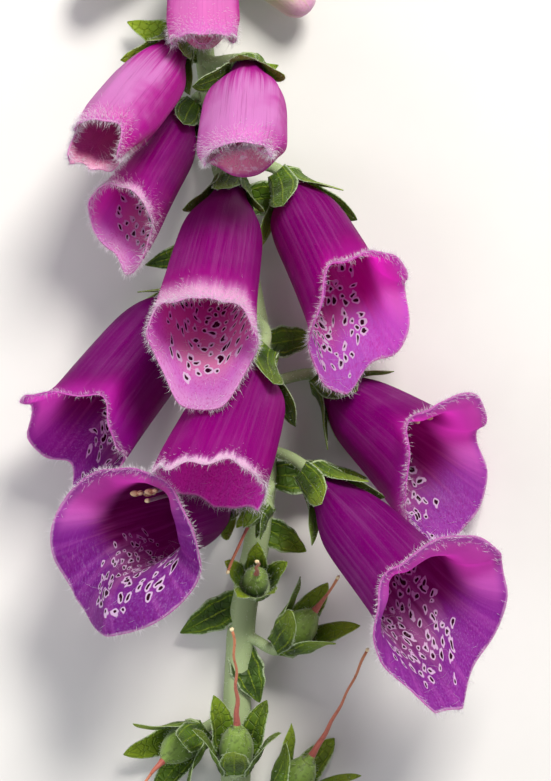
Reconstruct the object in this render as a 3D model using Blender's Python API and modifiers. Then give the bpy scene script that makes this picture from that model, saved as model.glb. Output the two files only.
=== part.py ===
"""A cut spike of common foxglove, lying down with its bells turned up.

Metres, +Z up, +Y from the cut foot of the stem to the tip. Lengths below are in millimetres,
and the spike is drawn in its own frame. The last step moves it, so that the origin is the middle
of its base on the table.
"""

from math import cos, pi, radians, sin
from typing import NamedTuple

import bmesh
import bpy
import numpy as np
from mathutils import Matrix, Vector

MM = 0.001

# Driving dimensions
PETAL = 0.7  # wall of a bell
BLADE = 0.6  # thickness of a sepal or bract
GAP = 0.35  # clearance between pieces that touch on the plant
NECK = 2.8  # radius of a bell where it sits in its calyx
FLATTER = 0.94  # a bell is a little lower than it is wide
BEND = 6.0  # degrees that a bell nods along its length
DISC = 3.9  # radius of the boss that carries the bell and the sepals
BOSS = 2.4  # depth of that boss
STALK = 1.15  # radius of a flower's stalk
SEPAL = 13.0  # length of a full-grown sepal
CLEAR = 1.5  # sepal to bell, from middle to middle of the two walls
SEPALS = 5
NOTCH = 2.6  # height of the notch between two sepals
SEPAL_POINTS = (0, 0.46, pi / SEPALS, 0.8)  # angles of a sepal's tip, shoulder, notch, shoulder
SEPAL_ANGLES = np.array([pi + 2 * pi / SEPALS * k + a for k in range(SEPALS) for a in SEPAL_POINTS])
WALL_ROWS = (0, 3, 7, 11, 16, 20, 23, 25)  # rings of a bell, closer together at its rim, out of 25
SUNK = 0.1  # how far a piece that rests is pressed flat on the table

# The line of the stem: x, y and z of its axis, then its radius
STEM_LINE = (
    (-8.0, -92, 2.9, 3.0),
    (-8.0, -76, 3.1, 2.9),
    (-7.6, -60, 3.8, 2.8),
    (-6.4, -44, 4.8, 2.7),
    (-3.6, -30, 5.8, 2.6),
    (-2.2, -14, 6.4, 2.5),
    (-2.4, 2, 6.6, 2.4),
    (-4.6, 18, 6.6, 2.3),
    (-8.0, 34, 6.4, 2.2),
    (-11.6, 50, 6.0, 2.1),
    (-14.0, 66, 5.6, 1.9),
    (-15.0, 84, 5.2, 1.6),
    (-14.4, 102, 4.8, 1.4),
    (-12.0, 120, 4.2, 1.2),
    (-8.4, 138, 3.4, 1.0),
    (-4.0, 154, 2.6, 0.8),
)


class Bloom(NamedTuple):
    """An open flower. Angles are in degrees and lengths in millimetres."""

    number: int
    at: tuple  # middle of the disc that it sits on
    side: float  # way the bell points in plan, from -Y round to +X
    tip: float  # how far it lifts from the table
    roll: float  # turn about its own axis
    length: float  # of its upper side, from neck to rim
    oblique: float  # how much longer the lower side is, as a share
    flare_up: float  # slope of the rim above
    flare_low: float  # and below
    edge: float  # how much of the length flares, as a share
    swell: float  # steepest slope of the shoulder
    taper: float  # slope of the tube between shoulder and rim
    lip: float  # how far the middle lobe below stands out, as a share of the length
    lobes: float  # the lobe at each side
    crest: float  # and the one above
    leaves: float  # y of the stem where its stalk leaves
    sepal: float  # size of its sepals against a full-grown one
    curl: float  # how far the tips of the sepals stand off, in millimetres
    rests: bool = False  # whether it is lowered until it lies on the table


BLOOMS = (
    Bloom(1, (-14.6, 92.4, 16.7), 1, 23, 3, 25.3, 0.06, 22, -74, 0.23, 28, 3.1,
          0.12, 0.02, 0.06, 99, 0.8, 0.6),
    Bloom(2, (-19.5, 69.2, 11.2), -38, 48, 3, 35.8, 0.04, 11, -54, 0.27, 22, 1.6,
          0.11, 0.16, 0.08, 74, 0.8, 0.8),
    Bloom(3, (-18.1, 56.0, 3.0), -33, 42, 25, 30.3, 0.24, 23, -9, 0.25, 22, 2.7,
          0.18, 0.01, 0.04, 60, 0.85, 0.8, True),
    Bloom(4, (-5.5, 63.4, 21), -5, 58, 8, 36.7, -0.05, -5, -88, 0.23, 28, 2.3,
          0.08, 0.06, 0.05, 66, 0.8, 1.5),
    Bloom(5, (-8.8, 40.3, 13.2), -12, 54, -1, 40.8, 0.18, -3, 18, 0.24, 23, 3.5,
          0.20, 0.03, 0.12, 46, 0.9, 0.6),
    Bloom(6, (2.2, 41.9, 9.8), 31, 32, -12, 30.2, 0.43, 78, 12, 0.26, 32, 4.1,
          0.14, 0.11, 0.05, 46, 0.95, 1.5),
    Bloom(7, (-16.4, 20.3, 3.4), -42, 32, 6, 39.8, 0.12, 53, -9, 0.24, 34, 2.3,
          0.25, 0.09, 0.15, 26, 0.9, 0.8, True),
    Bloom(8, (-3.4, 6.7, 27.2), -25, 34, 10, 30.5, -0.01, 1, 5, 0.24, 34, 8,
          0.03, 0.04, 0.14, 14, 0.9, 1.5),
    Bloom(9, (10.1, 1.7, 4.2), 56, 28, -7, 30.2, 0.40, 97, -3, 0.34, 20, 11.8,
          0.03, 0.05, 0.12, 2, 1.0, 1.5, True),
    Bloom(10, (7.7, -17, 20.8), 46, 37, 3, 43.5, 0.15, 99, 11, 0.29, 19, 4.9,
          0.15, 0.01, 0.00, -12, 1.0, 1.0),
    Bloom(11, (-9.5, -21.5, 3.8), -83, 58, 7, 39.9, 0.10, 48, 90, 0.28, 28, 1.9,
          0.25, 0.07, 0.00, -16, 0.9, 0.6),
)


class Pod(NamedTuple):
    """A flower that has dropped its bell and is swelling into a seed pod."""

    number: int
    at: tuple
    side: float
    tip: float
    roll: float
    pod: tuple  # length and radius
    style: float  # length of the thread that is left on it
    droop: float  # how many degrees that thread turns over its length
    spread: float  # how far the sepals stand open, in millimetres at the tip
    leaves: float
    sepal: float


PODS = (
    Pod(1, (-4.0, -38.8, 12.4), 175, 68, 0, (7.5, 2.8), 11, 10, 1.6, -37, 0.7),
    Pod(2, (2.0, -50.4, 9.2), 134, 28, 20, (10.0, 4.0), 9, -14, 3.4, -50, 0.95),
    Pod(3, (-16.4, -69.6, 5.2), -60, 40, 10, (10.0, 3.8), 9, 20, 3.5, -66, 0.95),
    Pod(4, (-8.0, -74.5, 11.5), 176, 36, 30, (10.0, 3.8), 22, -14, 3.0, -77, 0.9),
    Pod(5, (2.0, -81.5, 6.5), 146, 20, 0, (10.5, 4.0), 25, -12, 3.0, -83, 1.0),
    Pod(6, (-3.0, -22.6, 22.4), -31, 4, 0, (5.0, 1.9), 9.5, 10, 0.6, -19, 0.5),
)


class Bud(NamedTuple):
    """A flower that has not opened."""

    number: int
    y: float  # where its stalk leaves the stem
    round: float  # way it points round the stem, from straight up to +X
    nod: float  # angle that it makes with the foot's end of the stem
    length: float
    radius: float


BUDS = (
    Bud(1, 92, -78, 52, 20.0, 4.7),
    Bud(2, 88, 80, 48, 19.0, 4.6),
    Bud(3, 108, 62, 56, 16.0, 4.1),
    Bud(4, 112, -70, 62, 14.5, 3.8),
    Bud(5, 119, 4, 60, 13.0, 3.5),
    Bud(6, 126, 72, 70, 11.0, 3.1),
    Bud(7, 130, -64, 78, 10.0, 2.9),
    Bud(8, 136, 10, 80, 8.5, 2.6),
    Bud(9, 142, 78, 95, 7.5, 2.4),
)

# Bracts: y on the stem, way in plan from -Y round to +X, lift, length, half width, droop
BRACTS = (
    (68, -112, 4, 17, 3.4, 10),
    (98, -112, 12, 11, 2.2, 15),
    (101, 118, 12, 11, 2.2, 15),
    (60, 112, 10, 15, 3.0, 20),
    (38, 96, 0, 19, 3.4, 10),
    (30, -76, 20, 20, 3.4, 35),
    (9, 100, 0, 12, 3.2, 20),
    (-17, 88, 4, 21, 3.6, 15),
    (-27, 60, 14, 11, 3.0, 30),
    (-42, -62, 4, 15, 3.4, 15),
    (-52, 20, 32, 12, 3.4, 45),
    (-86, -70, 0, 27, 5.0, 5),
)

TIP_BUDS = 9  # little buds that crowd the tip


# --- shapes, worked out in millimetres -----------------------------------------------------


def smooth(x):
    x = np.clip(x, 0, 1)
    return x * x * (3 - 2 * x)


def lobe(angle, centre, width):
    gap = np.abs((angle - centre + pi) % (2 * pi) - pi)
    return np.exp(-((gap / width) ** 3))


def bell_profile(bloom, phi, rows, finer=6):
    """Radius and height of a bell's wall, row by row from neck to rim, at the angles phi.

    Phi is 0 at the lower lip. The slope of the wall is a tube's, with a swell at the shoulder
    and a flare at the rim, and radius and height are its running sums. The rim stands further
    out along the lower side and at each lobe.
    """
    low = (1 + np.cos(phi)) / 2
    end = 1 + bloom.oblique * low + bloom.lip * lobe(phi, 0, 0.62) + bloom.crest * lobe(phi, pi, 0.95)
    end = end + bloom.lobes * (lobe(phi, 1.45, 0.42) + lobe(phi, -1.45, 0.42))
    part = np.linspace(0, 1, rows * finer + 1)[:, None] * end
    tube = radians(bloom.taper)
    swell = np.radians(bloom.swell + 8 * np.cos(phi)) * np.exp(-(((part - 0.22) / 0.15) ** 2))
    rim = np.radians(bloom.flare_up + (bloom.flare_low - bloom.flare_up) * low**1.2)
    out = smooth(1 - (end - part) / (bloom.edge * (1 + 0.6 * low)))
    slope = tube + swell + (rim - tube) * out
    step = np.diff(part, axis=0) * bloom.length
    middle = (slope[1:] + slope[:-1]) / 2
    zero = np.zeros((1, len(phi)))
    radius = NECK + np.vstack([zero, np.cumsum(np.sin(middle) * step, 0)])
    height = np.vstack([zero, np.cumsum(np.cos(middle) * step, 0)])
    return radius[::finer], height[::finer]


def bent(radius, phi, height, length, bend=BEND):
    """Points of a round form whose axis nods evenly along its length."""
    across = radius * np.sin(phi)
    up = -radius * np.cos(phi) * FLATTER
    curve = radians(bend) / length
    turn = curve * height
    return np.stack(
        [across, up * np.cos(turn) - (1 - np.cos(turn)) / curve, np.sin(turn) / curve + up * np.sin(turn)],
        -1,
    )


def axes(side, tip, roll):
    """The three directions of a flower: its right, its back and the way it points."""
    side, tip, roll = radians(side), radians(tip), radians(roll)
    way = Vector((sin(side) * cos(tip), -cos(side) * cos(tip), sin(tip)))
    back = Vector((0, 1, 0))
    back = (back - way * back.dot(way)).normalized()
    back.rotate(Matrix.Rotation(roll, 3, way))
    return Matrix((back.cross(way), back, way)).transposed()


def put(turn, at, points):
    """Points of a flower's own frame, set down in the spike's frame."""
    return np.asarray(at) + points @ np.array(turn).T


def stem_at(y):
    """Middle and radius of the stem where it passes y, on a smooth line through its stations."""
    line = np.array(STEM_LINE)
    i = int(np.clip(np.searchsorted(line[:, 1], y) - 1, 0, len(line) - 2))
    before, start, end, after = (line[np.clip(i + k, 0, len(line) - 1)] for k in (-1, 0, 1, 2))
    t = np.clip((y - start[1]) / (end[1] - start[1]), 0, 1)
    value = (
        start * (1 - 3 * t**2 + 2 * t**3)
        + end * (3 * t**2 - 2 * t**3)
        + (end - before) / 2 * (t - 2 * t**2 + t**3)
        + (after - start) / 2 * (t**3 - t**2)
    )
    return np.array([value[0], y, value[2]]), value[3]


def arc(start, away, end, arriving, count):
    """A cubic from start, leaving it along away, to end, reached along arriving."""
    start, end = np.asarray(start, float), np.asarray(end, float)
    reach = np.linalg.norm(end - start) * 0.3
    near, far = start + np.asarray(away) * reach, end - np.asarray(arriving) * reach
    t = np.linspace(0, 1, count)[:, None]
    return (1 - t) ** 3 * start + 3 * t * (1 - t) ** 2 * near + 3 * t**2 * (1 - t) * far + t**3 * end


def unit(vector):
    return np.asarray(vector, float) / np.linalg.norm(vector)


# --- Blender objects ------------------------------------------------------------------------


def clear_scene():
    for old in list(bpy.data.objects):
        bpy.data.objects.remove(old)


def home():
    name = "foxglove_spike"
    found = bpy.data.collections.get(name)
    if found is None:
        found = bpy.data.collections.new(name)
        bpy.context.scene.collection.children.link(found)
    return found


def material(name, colour, roughness):
    found = bpy.data.materials.get(name)
    if found is None:
        found = bpy.data.materials.new(name)
        found.use_nodes = True
        shader = found.node_tree.nodes["Principled BSDF"]
        shader.inputs["Base Color"].default_value = (*colour, 1)
        shader.inputs["Roughness"].default_value = roughness
        shader.inputs["Metallic"].default_value = 0
    return found


def linked(name, data):
    made = bpy.data.objects.new(name, data)
    home().objects.link(made)
    return made


def welded(source):
    """Make an object a plain mesh, with its modifiers applied and its caps joined."""
    seen = source.evaluated_get(bpy.context.evaluated_depsgraph_get())
    mesh = bpy.data.meshes.new_from_object(seen)
    mesh.transform(source.matrix_world)
    work = bmesh.new()
    work.from_mesh(mesh)
    bmesh.ops.remove_doubles(work, verts=work.verts, dist=1e-6)
    bmesh.ops.recalc_face_normals(work, faces=work.faces)
    work.to_mesh(mesh)
    work.free()
    name = source.name
    bpy.data.objects.remove(source)
    return linked(name, mesh)


def sheet(name, points, thickness, closed=False):
    """A grid of points as a wall of even thickness; closed joins the last column to the first."""
    rows, columns = points.shape[:2]
    spans = columns if closed else columns - 1
    faces = []
    for row in range(rows - 1):
        for column in range(spans):
            a = row * columns + column
            b = row * columns + (column + 1) % columns
            faces += [(a, b, b + columns), (a, b + columns, a + columns)]
    mesh = bpy.data.meshes.new(name)
    mesh.from_pydata((points.reshape(-1, 3) * MM).tolist(), [], faces)
    made = linked(name, mesh)
    wall = made.modifiers.new("wall", "SOLIDIFY")
    wall.thickness = thickness * MM
    wall.offset = 0
    return welded(made)


def tube(name, points, radii, sides=6):
    """A round stalk along a line of points, with a radius at each."""
    curve = bpy.data.curves.new(name, "CURVE")
    curve.dimensions = "3D"
    curve.bevel_depth = MM
    curve.bevel_resolution = (sides - 4) // 2
    curve.use_fill_caps = True
    line = curve.splines.new("POLY")
    line.points.add(len(points) - 1)
    for point, place, radius in zip(line.points, points, np.broadcast_to(radii, len(points))):
        point.co = (*(Vector(place) * MM), 1)
        point.radius = float(radius)
    return welded(linked(name, curve))


def turned(name, profile, turn, at, sides=8):
    """A form turned round a flower's axis from a profile of radius and height, top first."""
    mesh = bpy.data.meshes.new(name)
    steps = range(len(profile) - 1)
    mesh.from_pydata([(r * MM, 0, h * MM) for r, h in profile], [(i, i + 1) for i in steps], [])
    made = linked(name, mesh)
    spin = made.modifiers.new("spin", "SCREW")
    spin.steps = spin.render_steps = sides
    spin.use_merge_vertices = True
    spin.merge_threshold = 1e-6
    made.matrix_world = Matrix.Translation(Vector(at) * MM) @ turn.to_4x4()
    bpy.context.view_layer.update()
    return welded(made)


def fused(name, pieces, look):
    """Join solids that sink into each other into one body."""
    parts = bpy.data.collections.new(name + "_parts")
    bpy.context.scene.collection.children.link(parts)
    base = pieces[0]
    for piece in pieces[1:]:
        home().objects.unlink(piece)
        parts.objects.link(piece)
    join = base.modifiers.new("join", "BOOLEAN")
    join.operation = "UNION"
    join.operand_type = "COLLECTION"
    join.collection = parts
    join.solver = "EXACT"
    body = welded(base)
    for piece in list(parts.objects):
        bpy.data.objects.remove(piece)
    bpy.data.collections.remove(parts)
    return finished(body, name, look)


def finished(body, name, look):
    body.name = name
    body.data.name = name
    body.data.materials.clear()
    body.data.materials.append(look)
    return body


# --- pieces of the plant --------------------------------------------------------------------


def ring(centre, across, back, radius, phi):
    """Points round a centre at the angles phi; radius may differ from point to point."""
    phi, across, back = np.asarray(phi)[:, None], np.array(across), np.array(back)
    return centre + np.reshape(radius, (-1, 1)) * (across * np.sin(phi) - back * np.cos(phi))


def stalk_rings(leaves, turn, at, radius=STALK, disc=DISC):
    """Rings from the stem to the back of a flower, starting a clearance short of the stem."""
    middle, thick = stem_at(leaves)
    across, back, way = np.array(turn).T
    out = unit((np.asarray(at) - middle) * (1, 0.25, 1))
    line = arc(middle + out * (thick + GAP), out, at - way * BOSS, way, 5)
    heading = np.gradient(line, axis=0)
    heading[0] = out
    phi = SEPAL_ANGLES[::4]
    rings = []
    for place, along in zip(line, heading):
        lean = Vector(way).rotation_difference(Vector(along))
        rings.append(ring(place, lean @ Vector(across), lean @ Vector(back), radius, phi))
    rings.append(ring(at - way * 0.9, across, back, disc - 0.6, SEPAL_ANGLES))
    return line[0], rings


def sepal_rings(wall, length, turn, at, span, curl, clear=CLEAR):
    """Rings up the outside of five pointed sepals and down their inside, round a form.

    Wall gives the form's radius at an angle and a height. A sepal has a point at its tip, one at
    each shoulder and one at each notch, so a ring near its edge is a star.
    """
    top = np.tile(length * np.array([1, 0.62, 0, 0.62]), SEPALS) + np.tile([0, 0, NOTCH, 0], SEPALS)
    rings = []
    for share, inner in ((0, 0), (0.5, 0), (1, 0), (1, 1), (0.5, 1), (0, 1)):
        height = top * share
        off = clear * (0.7 + 0.3 * smooth(height / 4)) + curl * (height / length) ** 2
        reach = wall(SEPAL_ANGLES, height) + off + (0.5 - inner) * BLADE * 1.25
        rings.append(put(turn, at, bent(reach, SEPAL_ANGLES, height, span)))
    return rings


def bell_wall(bloom):
    """Radius of a bell at angles and heights, for what wraps it."""

    def wall(phi, height):
        radius, rise = bell_profile(bloom, phi, 24)
        pairs = enumerate(height)
        return np.array([np.interp(h, rise[:, i], radius[:, i]) for i, h in pairs])

    return wall


def body_wall(profile):
    """Radius of a turned form at angles and heights; the profile runs from its top down."""
    radius, rise = np.array(profile)[::-1].T

    def wall(phi, height):
        return np.interp(height, rise, radius)

    return wall


def make_bell(bloom, turn, at):
    phi = np.linspace(0, 2 * pi, 16, endpoint=False)
    radius, height = bell_profile(bloom, phi, WALL_ROWS[-1])
    points = bent(radius[WALL_ROWS,], phi, height[WALL_ROWS,] + GAP, bloom.length)
    name = f"bell_{bloom.number:02d}"
    body = sheet(name, put(turn, at, points), PETAL, closed=True)
    return finished(body, name, material("corolla", (0.42, 0.03, 0.33), 0.5))


def make_calyx(bloom, turn, at):
    """The stalk, the disc that the bell sits on, and the sepals round it, in one skin."""
    name = f"calyx_{bloom.number:02d}"
    start, rings = stalk_rings(bloom.leaves, turn, at)
    rings += sepal_rings(bell_wall(bloom), SEPAL * bloom.sepal, turn, at, bloom.length, bloom.curl)
    body = skin(name, rings, start, at)
    return finished(body, name, material("sepal", (0.12, 0.22, 0.05), 0.6))


def make_pistil(bloom, turn, at):
    """The ovary on its disc, and the style along the back of the bell to a two-lipped stigma."""
    name = f"pistil_{bloom.number:02d}"
    reach = bloom.length * 0.7
    heights = np.array([0, 1.5, 4.5, 8, (8 + reach) / 2, reach - 0.7, reach + 0.5])
    radii = np.array([1.5, 2.0, 1.6, 0.6, 0.45, 0.8, 0.5])
    radius, rise = bell_profile(bloom, np.array([pi]), 24)
    room = np.interp(heights, rise[:, 0], radius[:, 0]) - 4.2
    back = np.clip(room, 0, None) * smooth((heights - 5) / 8)
    points = bent(back, np.full(len(heights), pi), heights + GAP, bloom.length)
    body = tube(name, put(turn, at, points), radii)
    return finished(body, name, material("pistil", (0.45, 0.5, 0.2), 0.5))


def make_stamens(bloom, turn, at):
    """Two long and two short filaments under the back of the bell, each with its pollen sacs.

    They are drawn from one root on the bell's back wall.
    """
    name = f"stamens_{bloom.number:02d}"
    wall = bell_wall(bloom)
    pieces = []
    low = min(8.0, bloom.length * 0.26)
    for across, share in ((-0.66, 0.56), (0.66, 0.56), (-0.34, 0.72), (0.34, 0.72)):
        top = bloom.length * share
        heights = np.array([low, low + (top - low) * 0.45, top - 1.6, top])
        phi = pi + across * np.array([0.15, 0.9, 1, 1])
        inner = wall(phi, heights) - np.array([1.4, 1.7, 2.3, 2.3])
        line = put(turn, at, bent(inner, phi, heights + GAP, bloom.length))
        pieces.append(tube(name, line, (0.5, 0.4, 0.6, 1.25), sides=4))
    return fused(name, pieces, material("anther", (0.85, 0.62, 0.38), 0.6))


def place_of(bloom):
    """A bloom's directions and place, lowered to the table if it rests there."""
    turn = axes(bloom.side, bloom.tip, bloom.roll)
    at = np.array(bloom.at, float)
    if bloom.rests:
        phi = np.linspace(0, 2 * pi, 48, endpoint=False)
        radius, height = bell_profile(bloom, phi, 32)
        bell = put(turn, (0, 0, 0), bent(radius, phi, height + GAP, bloom.length))
        length = SEPAL * bloom.sepal
        sepals = sepal_rings(bell_wall(bloom), length, turn, (0, 0, 0), bloom.length, bloom.curl)
        low = min(bell[..., 2].min() - PETAL / 2, *(points[:, 2].min() for points in sepals))
        at[2] = -low - SUNK
    return turn, at


def make_pod(pod):
    """A seed pod in its open calyx, with the dry style still on it, in one skin."""
    name = f"pod_{pod.number:02d}"
    turn, at = axes(pod.side, pod.tip, pod.roll), np.array(pod.at)
    size = 0.55 + 0.45 * pod.sepal
    start, rings = stalk_rings(pod.leaves, turn, at, STALK * size, DISC * size)
    length, radius = pod.pod
    wall = body_wall([(radius, SEPAL * 2), (radius, length * 0.3), (NECK * size, 0)])
    rings += sepal_rings(wall, SEPAL * pod.sepal, turn, at, 40, pod.spread, clear=1.0)
    pod_heights = length * np.array([0.02, 0.32, 0.7, 1])
    heights = np.concatenate([pod_heights, length + pod.style * np.array([0.5, 0.93])])
    radii = (radius * 0.8, radius, radius * 0.7, 0.6, 0.42, 0.5)
    curve = radians(pod.droop) / (length + pod.style)
    across, back, way = np.array(turn).T
    for height, thick in zip(heights, radii):
        lean = curve * height
        middle = at + way * sin(lean) / curve - back * (1 - cos(lean)) / curve
        phi = SEPAL_ANGLES[::2]
        rings.append(ring(middle, across, back * cos(lean) + way * sin(lean), thick, phi))
    end = middle + (way * cos(lean) - back * sin(lean)) * pod.style * 0.07
    body = skin(name, rings, start, end)
    return finished(body, name, material("pod", (0.14, 0.26, 0.06), 0.6))


def bud_place(bud):
    """Directions and place of a bud, from the way it leaves the stem."""
    middle, radius = stem_at(bud.y)
    turn_round, nod = radians(bud.round), radians(bud.nod)
    out = np.array([sin(turn_round), 0, cos(turn_round)])
    way = out * sin(nod) + np.array([0, -cos(nod), 0])
    at = middle + out * (radius + GAP + 2.6 + bud.radius * 0.8) + np.array([0, 1.0, 0])
    side = np.degrees(np.arctan2(way[0], -way[1]))
    tip = np.degrees(np.arcsin(way[2]))
    return axes(side, tip, 0), at


def make_bud(bud):
    """A closed bell in its calyx, as one skin from the root of the stalk to the blunt tip.

    Up to where its sepals end, every second point of a ring stands out as the back of a sepal.
    """
    name = f"bud_{bud.number:02d}"
    turn, at = bud_place(bud)
    start, rings = stalk_rings(bud.y, turn, at, STALK * 0.85)
    rings.pop()
    across, back, way = np.array(turn).T
    phi = SEPAL_ANGLES[::2]
    to_tip = np.tile([1, 0], SEPALS)
    stations = ((0, 0.5, 1), (0.12, 0.82, 1.5), (0.34, 1, 1.5), (0.56, 0.98, 1), (0.62, 0.86, 0))
    for height, share, raised in stations + ((0.84, 0.82, 0), (0.97, 0.5, 0)):
        reach = bud.radius * share + BLADE * raised * to_tip
        rings.append(ring(at + way * bud.length * height, across, back, reach, phi))
    body = skin(name, rings, start, at + way * bud.length)
    return finished(body, name, material("bud", (0.45, 0.5, 0.3), 0.55))


def skin(name, rings, start, end):
    """Rings of points as a closed skin, with a point at each end.

    Where two rings differ in their number of points, each point of the sparser one fans out.
    """
    firsts = np.concatenate([[0], np.cumsum([len(points) for points in rings])])
    points = np.vstack([*rings, start, end])
    faces = []
    for low, high, first, second in zip(rings, rings[1:], firsts, firsts[1:]):
        few, many = min(len(low), len(high)), max(len(low), len(high))
        fan = many // few
        for i in range(many):
            on, after = i // fan, (i // fan + (i % fan == fan - 1)) % few
            near, far = i, (i + 1) % many
            if len(low) <= len(high):
                faces.append((first + on, second + far, second + near))
                faces.append((first + on, first + after, second + far))
            else:
                faces.append((second + on, first + near, first + far))
                faces.append((second + on, first + far, second + after))
    ends = ((rings[0], 0, len(points) - 2, 1), (rings[-1], firsts[-2], len(points) - 1, -1))
    for points_round, first, pole, way in ends:
        count = len(points_round)
        faces += [(pole, first + i, first + (i + 1) % count)[::way] for i in range(count)]
    faces = [face for face in faces if len(set(face)) == 3]
    mesh = bpy.data.meshes.new(name)
    mesh.from_pydata((points * MM).tolist(), [], faces)
    return welded(linked(name, mesh))


def bract(name, y, side, lift, length, half_width, droop):
    """A narrow pointed leaf from the stem, arched along its length and folded at its rib."""
    middle, _ = stem_at(y)
    t = np.linspace(0, 1, 4)
    side, lift, droop = radians(side), radians(lift), radians(droop)
    out = np.array([sin(side), -cos(side), 0])
    across = np.array([cos(side), sin(side), 0])
    slope = lift - droop * t
    step = length / 3
    along = np.concatenate([[0], np.cumsum(np.cos(slope[1:]) * step)])
    rise = np.concatenate([[0], np.cumsum(np.sin(slope[1:]) * step)])
    half = half_width * np.sin(pi * (0.22 + 0.77 * t)) ** 0.9
    rib = middle + along[:, None] * out + rise[:, None] * np.array([0, 0, 1])
    edges = [rib + s * half[:, None] * across + half[:, None] * (0, 0, 0.3) for s in (-1, 1)]
    return sheet(name, np.stack([edges[0], rib, edges[1]], 1), BLADE)


def make_stem():
    """The stem with its bracts, and the crowd of little buds at its tip."""
    low, high = STEM_LINE[0][1], STEM_LINE[-1][1]
    stations = [stem_at(y) for y in np.linspace(low, high, 19)]
    line = np.array([middle for middle, _ in stations])
    radii = [radius for _, radius in stations]
    pieces = [tube("stem", line, radii, sides=8)]
    pieces += [bract("stem_bract", *row) for row in BRACTS]
    for k in range(TIP_BUDS):
        share = k / (TIP_BUDS - 1)
        y = high - 9 + 11 * share
        middle, _ = stem_at(min(y, high))
        middle[1] = y
        size = 2.0 - 0.7 * share
        angle = radians(137.5 * k)
        offset = 2.3 * (1 - share * 0.8)
        at = middle + np.array([sin(angle), 0, cos(angle) * 0.7 + 0.25]) * offset
        way = Vector((sin(angle) * 0.8, 0.9 + share, cos(angle) * 0.8)).normalized()
        turn = way.to_track_quat("Z", "X").to_matrix()
        profile = [(0, 1.6 * size), (0.8 * size, 0.2 * size), (0, -1.6 * size)]
        pieces.append(turned("stem_bud", profile, turn, at, sides=6))
    return fused("stem", pieces, material("stem", (0.2, 0.3, 0.12), 0.6))


def set_down():
    """Press what rests flat on the table, and put the origin under the middle of the spike."""
    bodies = [thing for thing in home().objects if thing.type == "MESH"]
    for body in bodies:
        for vertex in body.data.vertices:
            vertex.co.z = max(vertex.co.z, 0)
    corners = np.array([vertex.co for body in bodies for vertex in body.data.vertices])
    low, high = corners.min(0), corners.max(0)
    spike = linked("foxglove", None)
    spike.location = (-(low[0] + high[0]) / 2, -(low[1] + high[1]) / 2, -low[2])
    for body in bodies:
        body.parent = spike


def main():
    clear_scene()
    make_stem()
    for bloom in BLOOMS:
        turn, at = place_of(bloom)
        make_bell(bloom, turn, at)
        make_calyx(bloom, turn, at)
        make_stamens(bloom, turn, at)
        make_pistil(bloom, turn, at)
    for pod in PODS:
        make_pod(pod)
    for bud in BUDS:
        make_bud(bud)
    set_down()


main()
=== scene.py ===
"""Looks of a cut foxglove spike: petals, hairs, sepals, leaves, seed pods and buds round the part.

Shapes are worked out in millimetres in the spike's own frame, X to the right, Y to the tip and
Z up, by the same rules as the part's solids and on finer grids. Form.finish moves them into the
part's frame.
"""

from math import cos, pi, radians, sin
from typing import NamedTuple

import bpy
import numpy as np
from bpy.props import FloatProperty, FloatVectorProperty, IntProperty, PointerProperty
from mathutils import Matrix, Vector


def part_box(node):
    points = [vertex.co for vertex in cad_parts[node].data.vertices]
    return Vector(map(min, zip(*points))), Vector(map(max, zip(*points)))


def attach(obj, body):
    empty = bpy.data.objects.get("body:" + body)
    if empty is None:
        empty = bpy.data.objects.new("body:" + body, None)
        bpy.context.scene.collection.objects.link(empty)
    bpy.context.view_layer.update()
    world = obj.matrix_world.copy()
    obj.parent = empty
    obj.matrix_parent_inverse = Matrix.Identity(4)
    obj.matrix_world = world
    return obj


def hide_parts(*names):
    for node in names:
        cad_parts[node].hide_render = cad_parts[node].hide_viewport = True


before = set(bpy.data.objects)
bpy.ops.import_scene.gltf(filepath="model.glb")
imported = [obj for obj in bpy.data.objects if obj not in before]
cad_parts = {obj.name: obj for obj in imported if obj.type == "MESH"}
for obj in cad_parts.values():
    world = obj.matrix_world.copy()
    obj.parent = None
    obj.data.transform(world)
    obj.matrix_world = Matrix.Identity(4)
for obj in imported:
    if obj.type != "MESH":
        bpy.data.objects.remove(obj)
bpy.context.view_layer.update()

bl_info = {
    "name": "Foxglove spike",
    "version": (1, 0, 0),
    "blender": (4, 5, 0),
    "location": "View3D > Sidebar > Foxglove",
    "description": "Bells, hairs, leaves, pods and buds of a cut foxglove spike",
    "category": "Object",
}

MM = 0.001

# The plant's own sizes, as in the part
GAP = 0.35  # from a bell's neck to the disc below it
NECK = 2.8  # radius of a bell where it sits in its calyx
FLATTER = 0.94  # a bell is a little lower than it is wide
BEND = 6.0  # degrees that a bell nods along its length
DISC = 3.9  # radius of the boss that carries the bell and the sepals
BOSS = 2.4  # depth of that boss
STALK = 1.15  # radius of a flower's stalk
SEPAL = 13.0  # length of a full-grown sepal
SEPALS = 5
TIP_BUDS = 9  # little buds that crowd the tip
GOLDEN = 137.5  # degrees from each of them to the next round the stem

# A bell's shape: places in shares of its length, and angles in radians round from its lower lip
SHOULDER = 0.22  # where it swells most
SHOULDER_REACH = 0.15  # and how far that spreads
SIDE_LOBE = 1.45
SLIT = 2.0  # between a lobe at the side and the one above
LOBE_WIDTH = 0.42

# How finely the surfaces are drawn: rows along them and columns across or round them
PETAL_GRID = (52, 96)
PLAIN_GRID = (24, 48)  # a bell's, where only what lies on it is drawn
BRACT_GRID = (34, 15)
WALL_STEPS = 6  # steps of a bell's profile to a row of its grid

# Where the random numbers of each kind of piece start
WALL_SEED, HAIR_SEED, CALYX_SEED, POD_SEED, BUD_SEED, STEM_SEED = 100, 200, 300, 400, 500, 600

# The order of the finishes on green pieces
LEAF, DOWN, BODY, THREAD, STIGMA, STEM, CUT = range(7)

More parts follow.
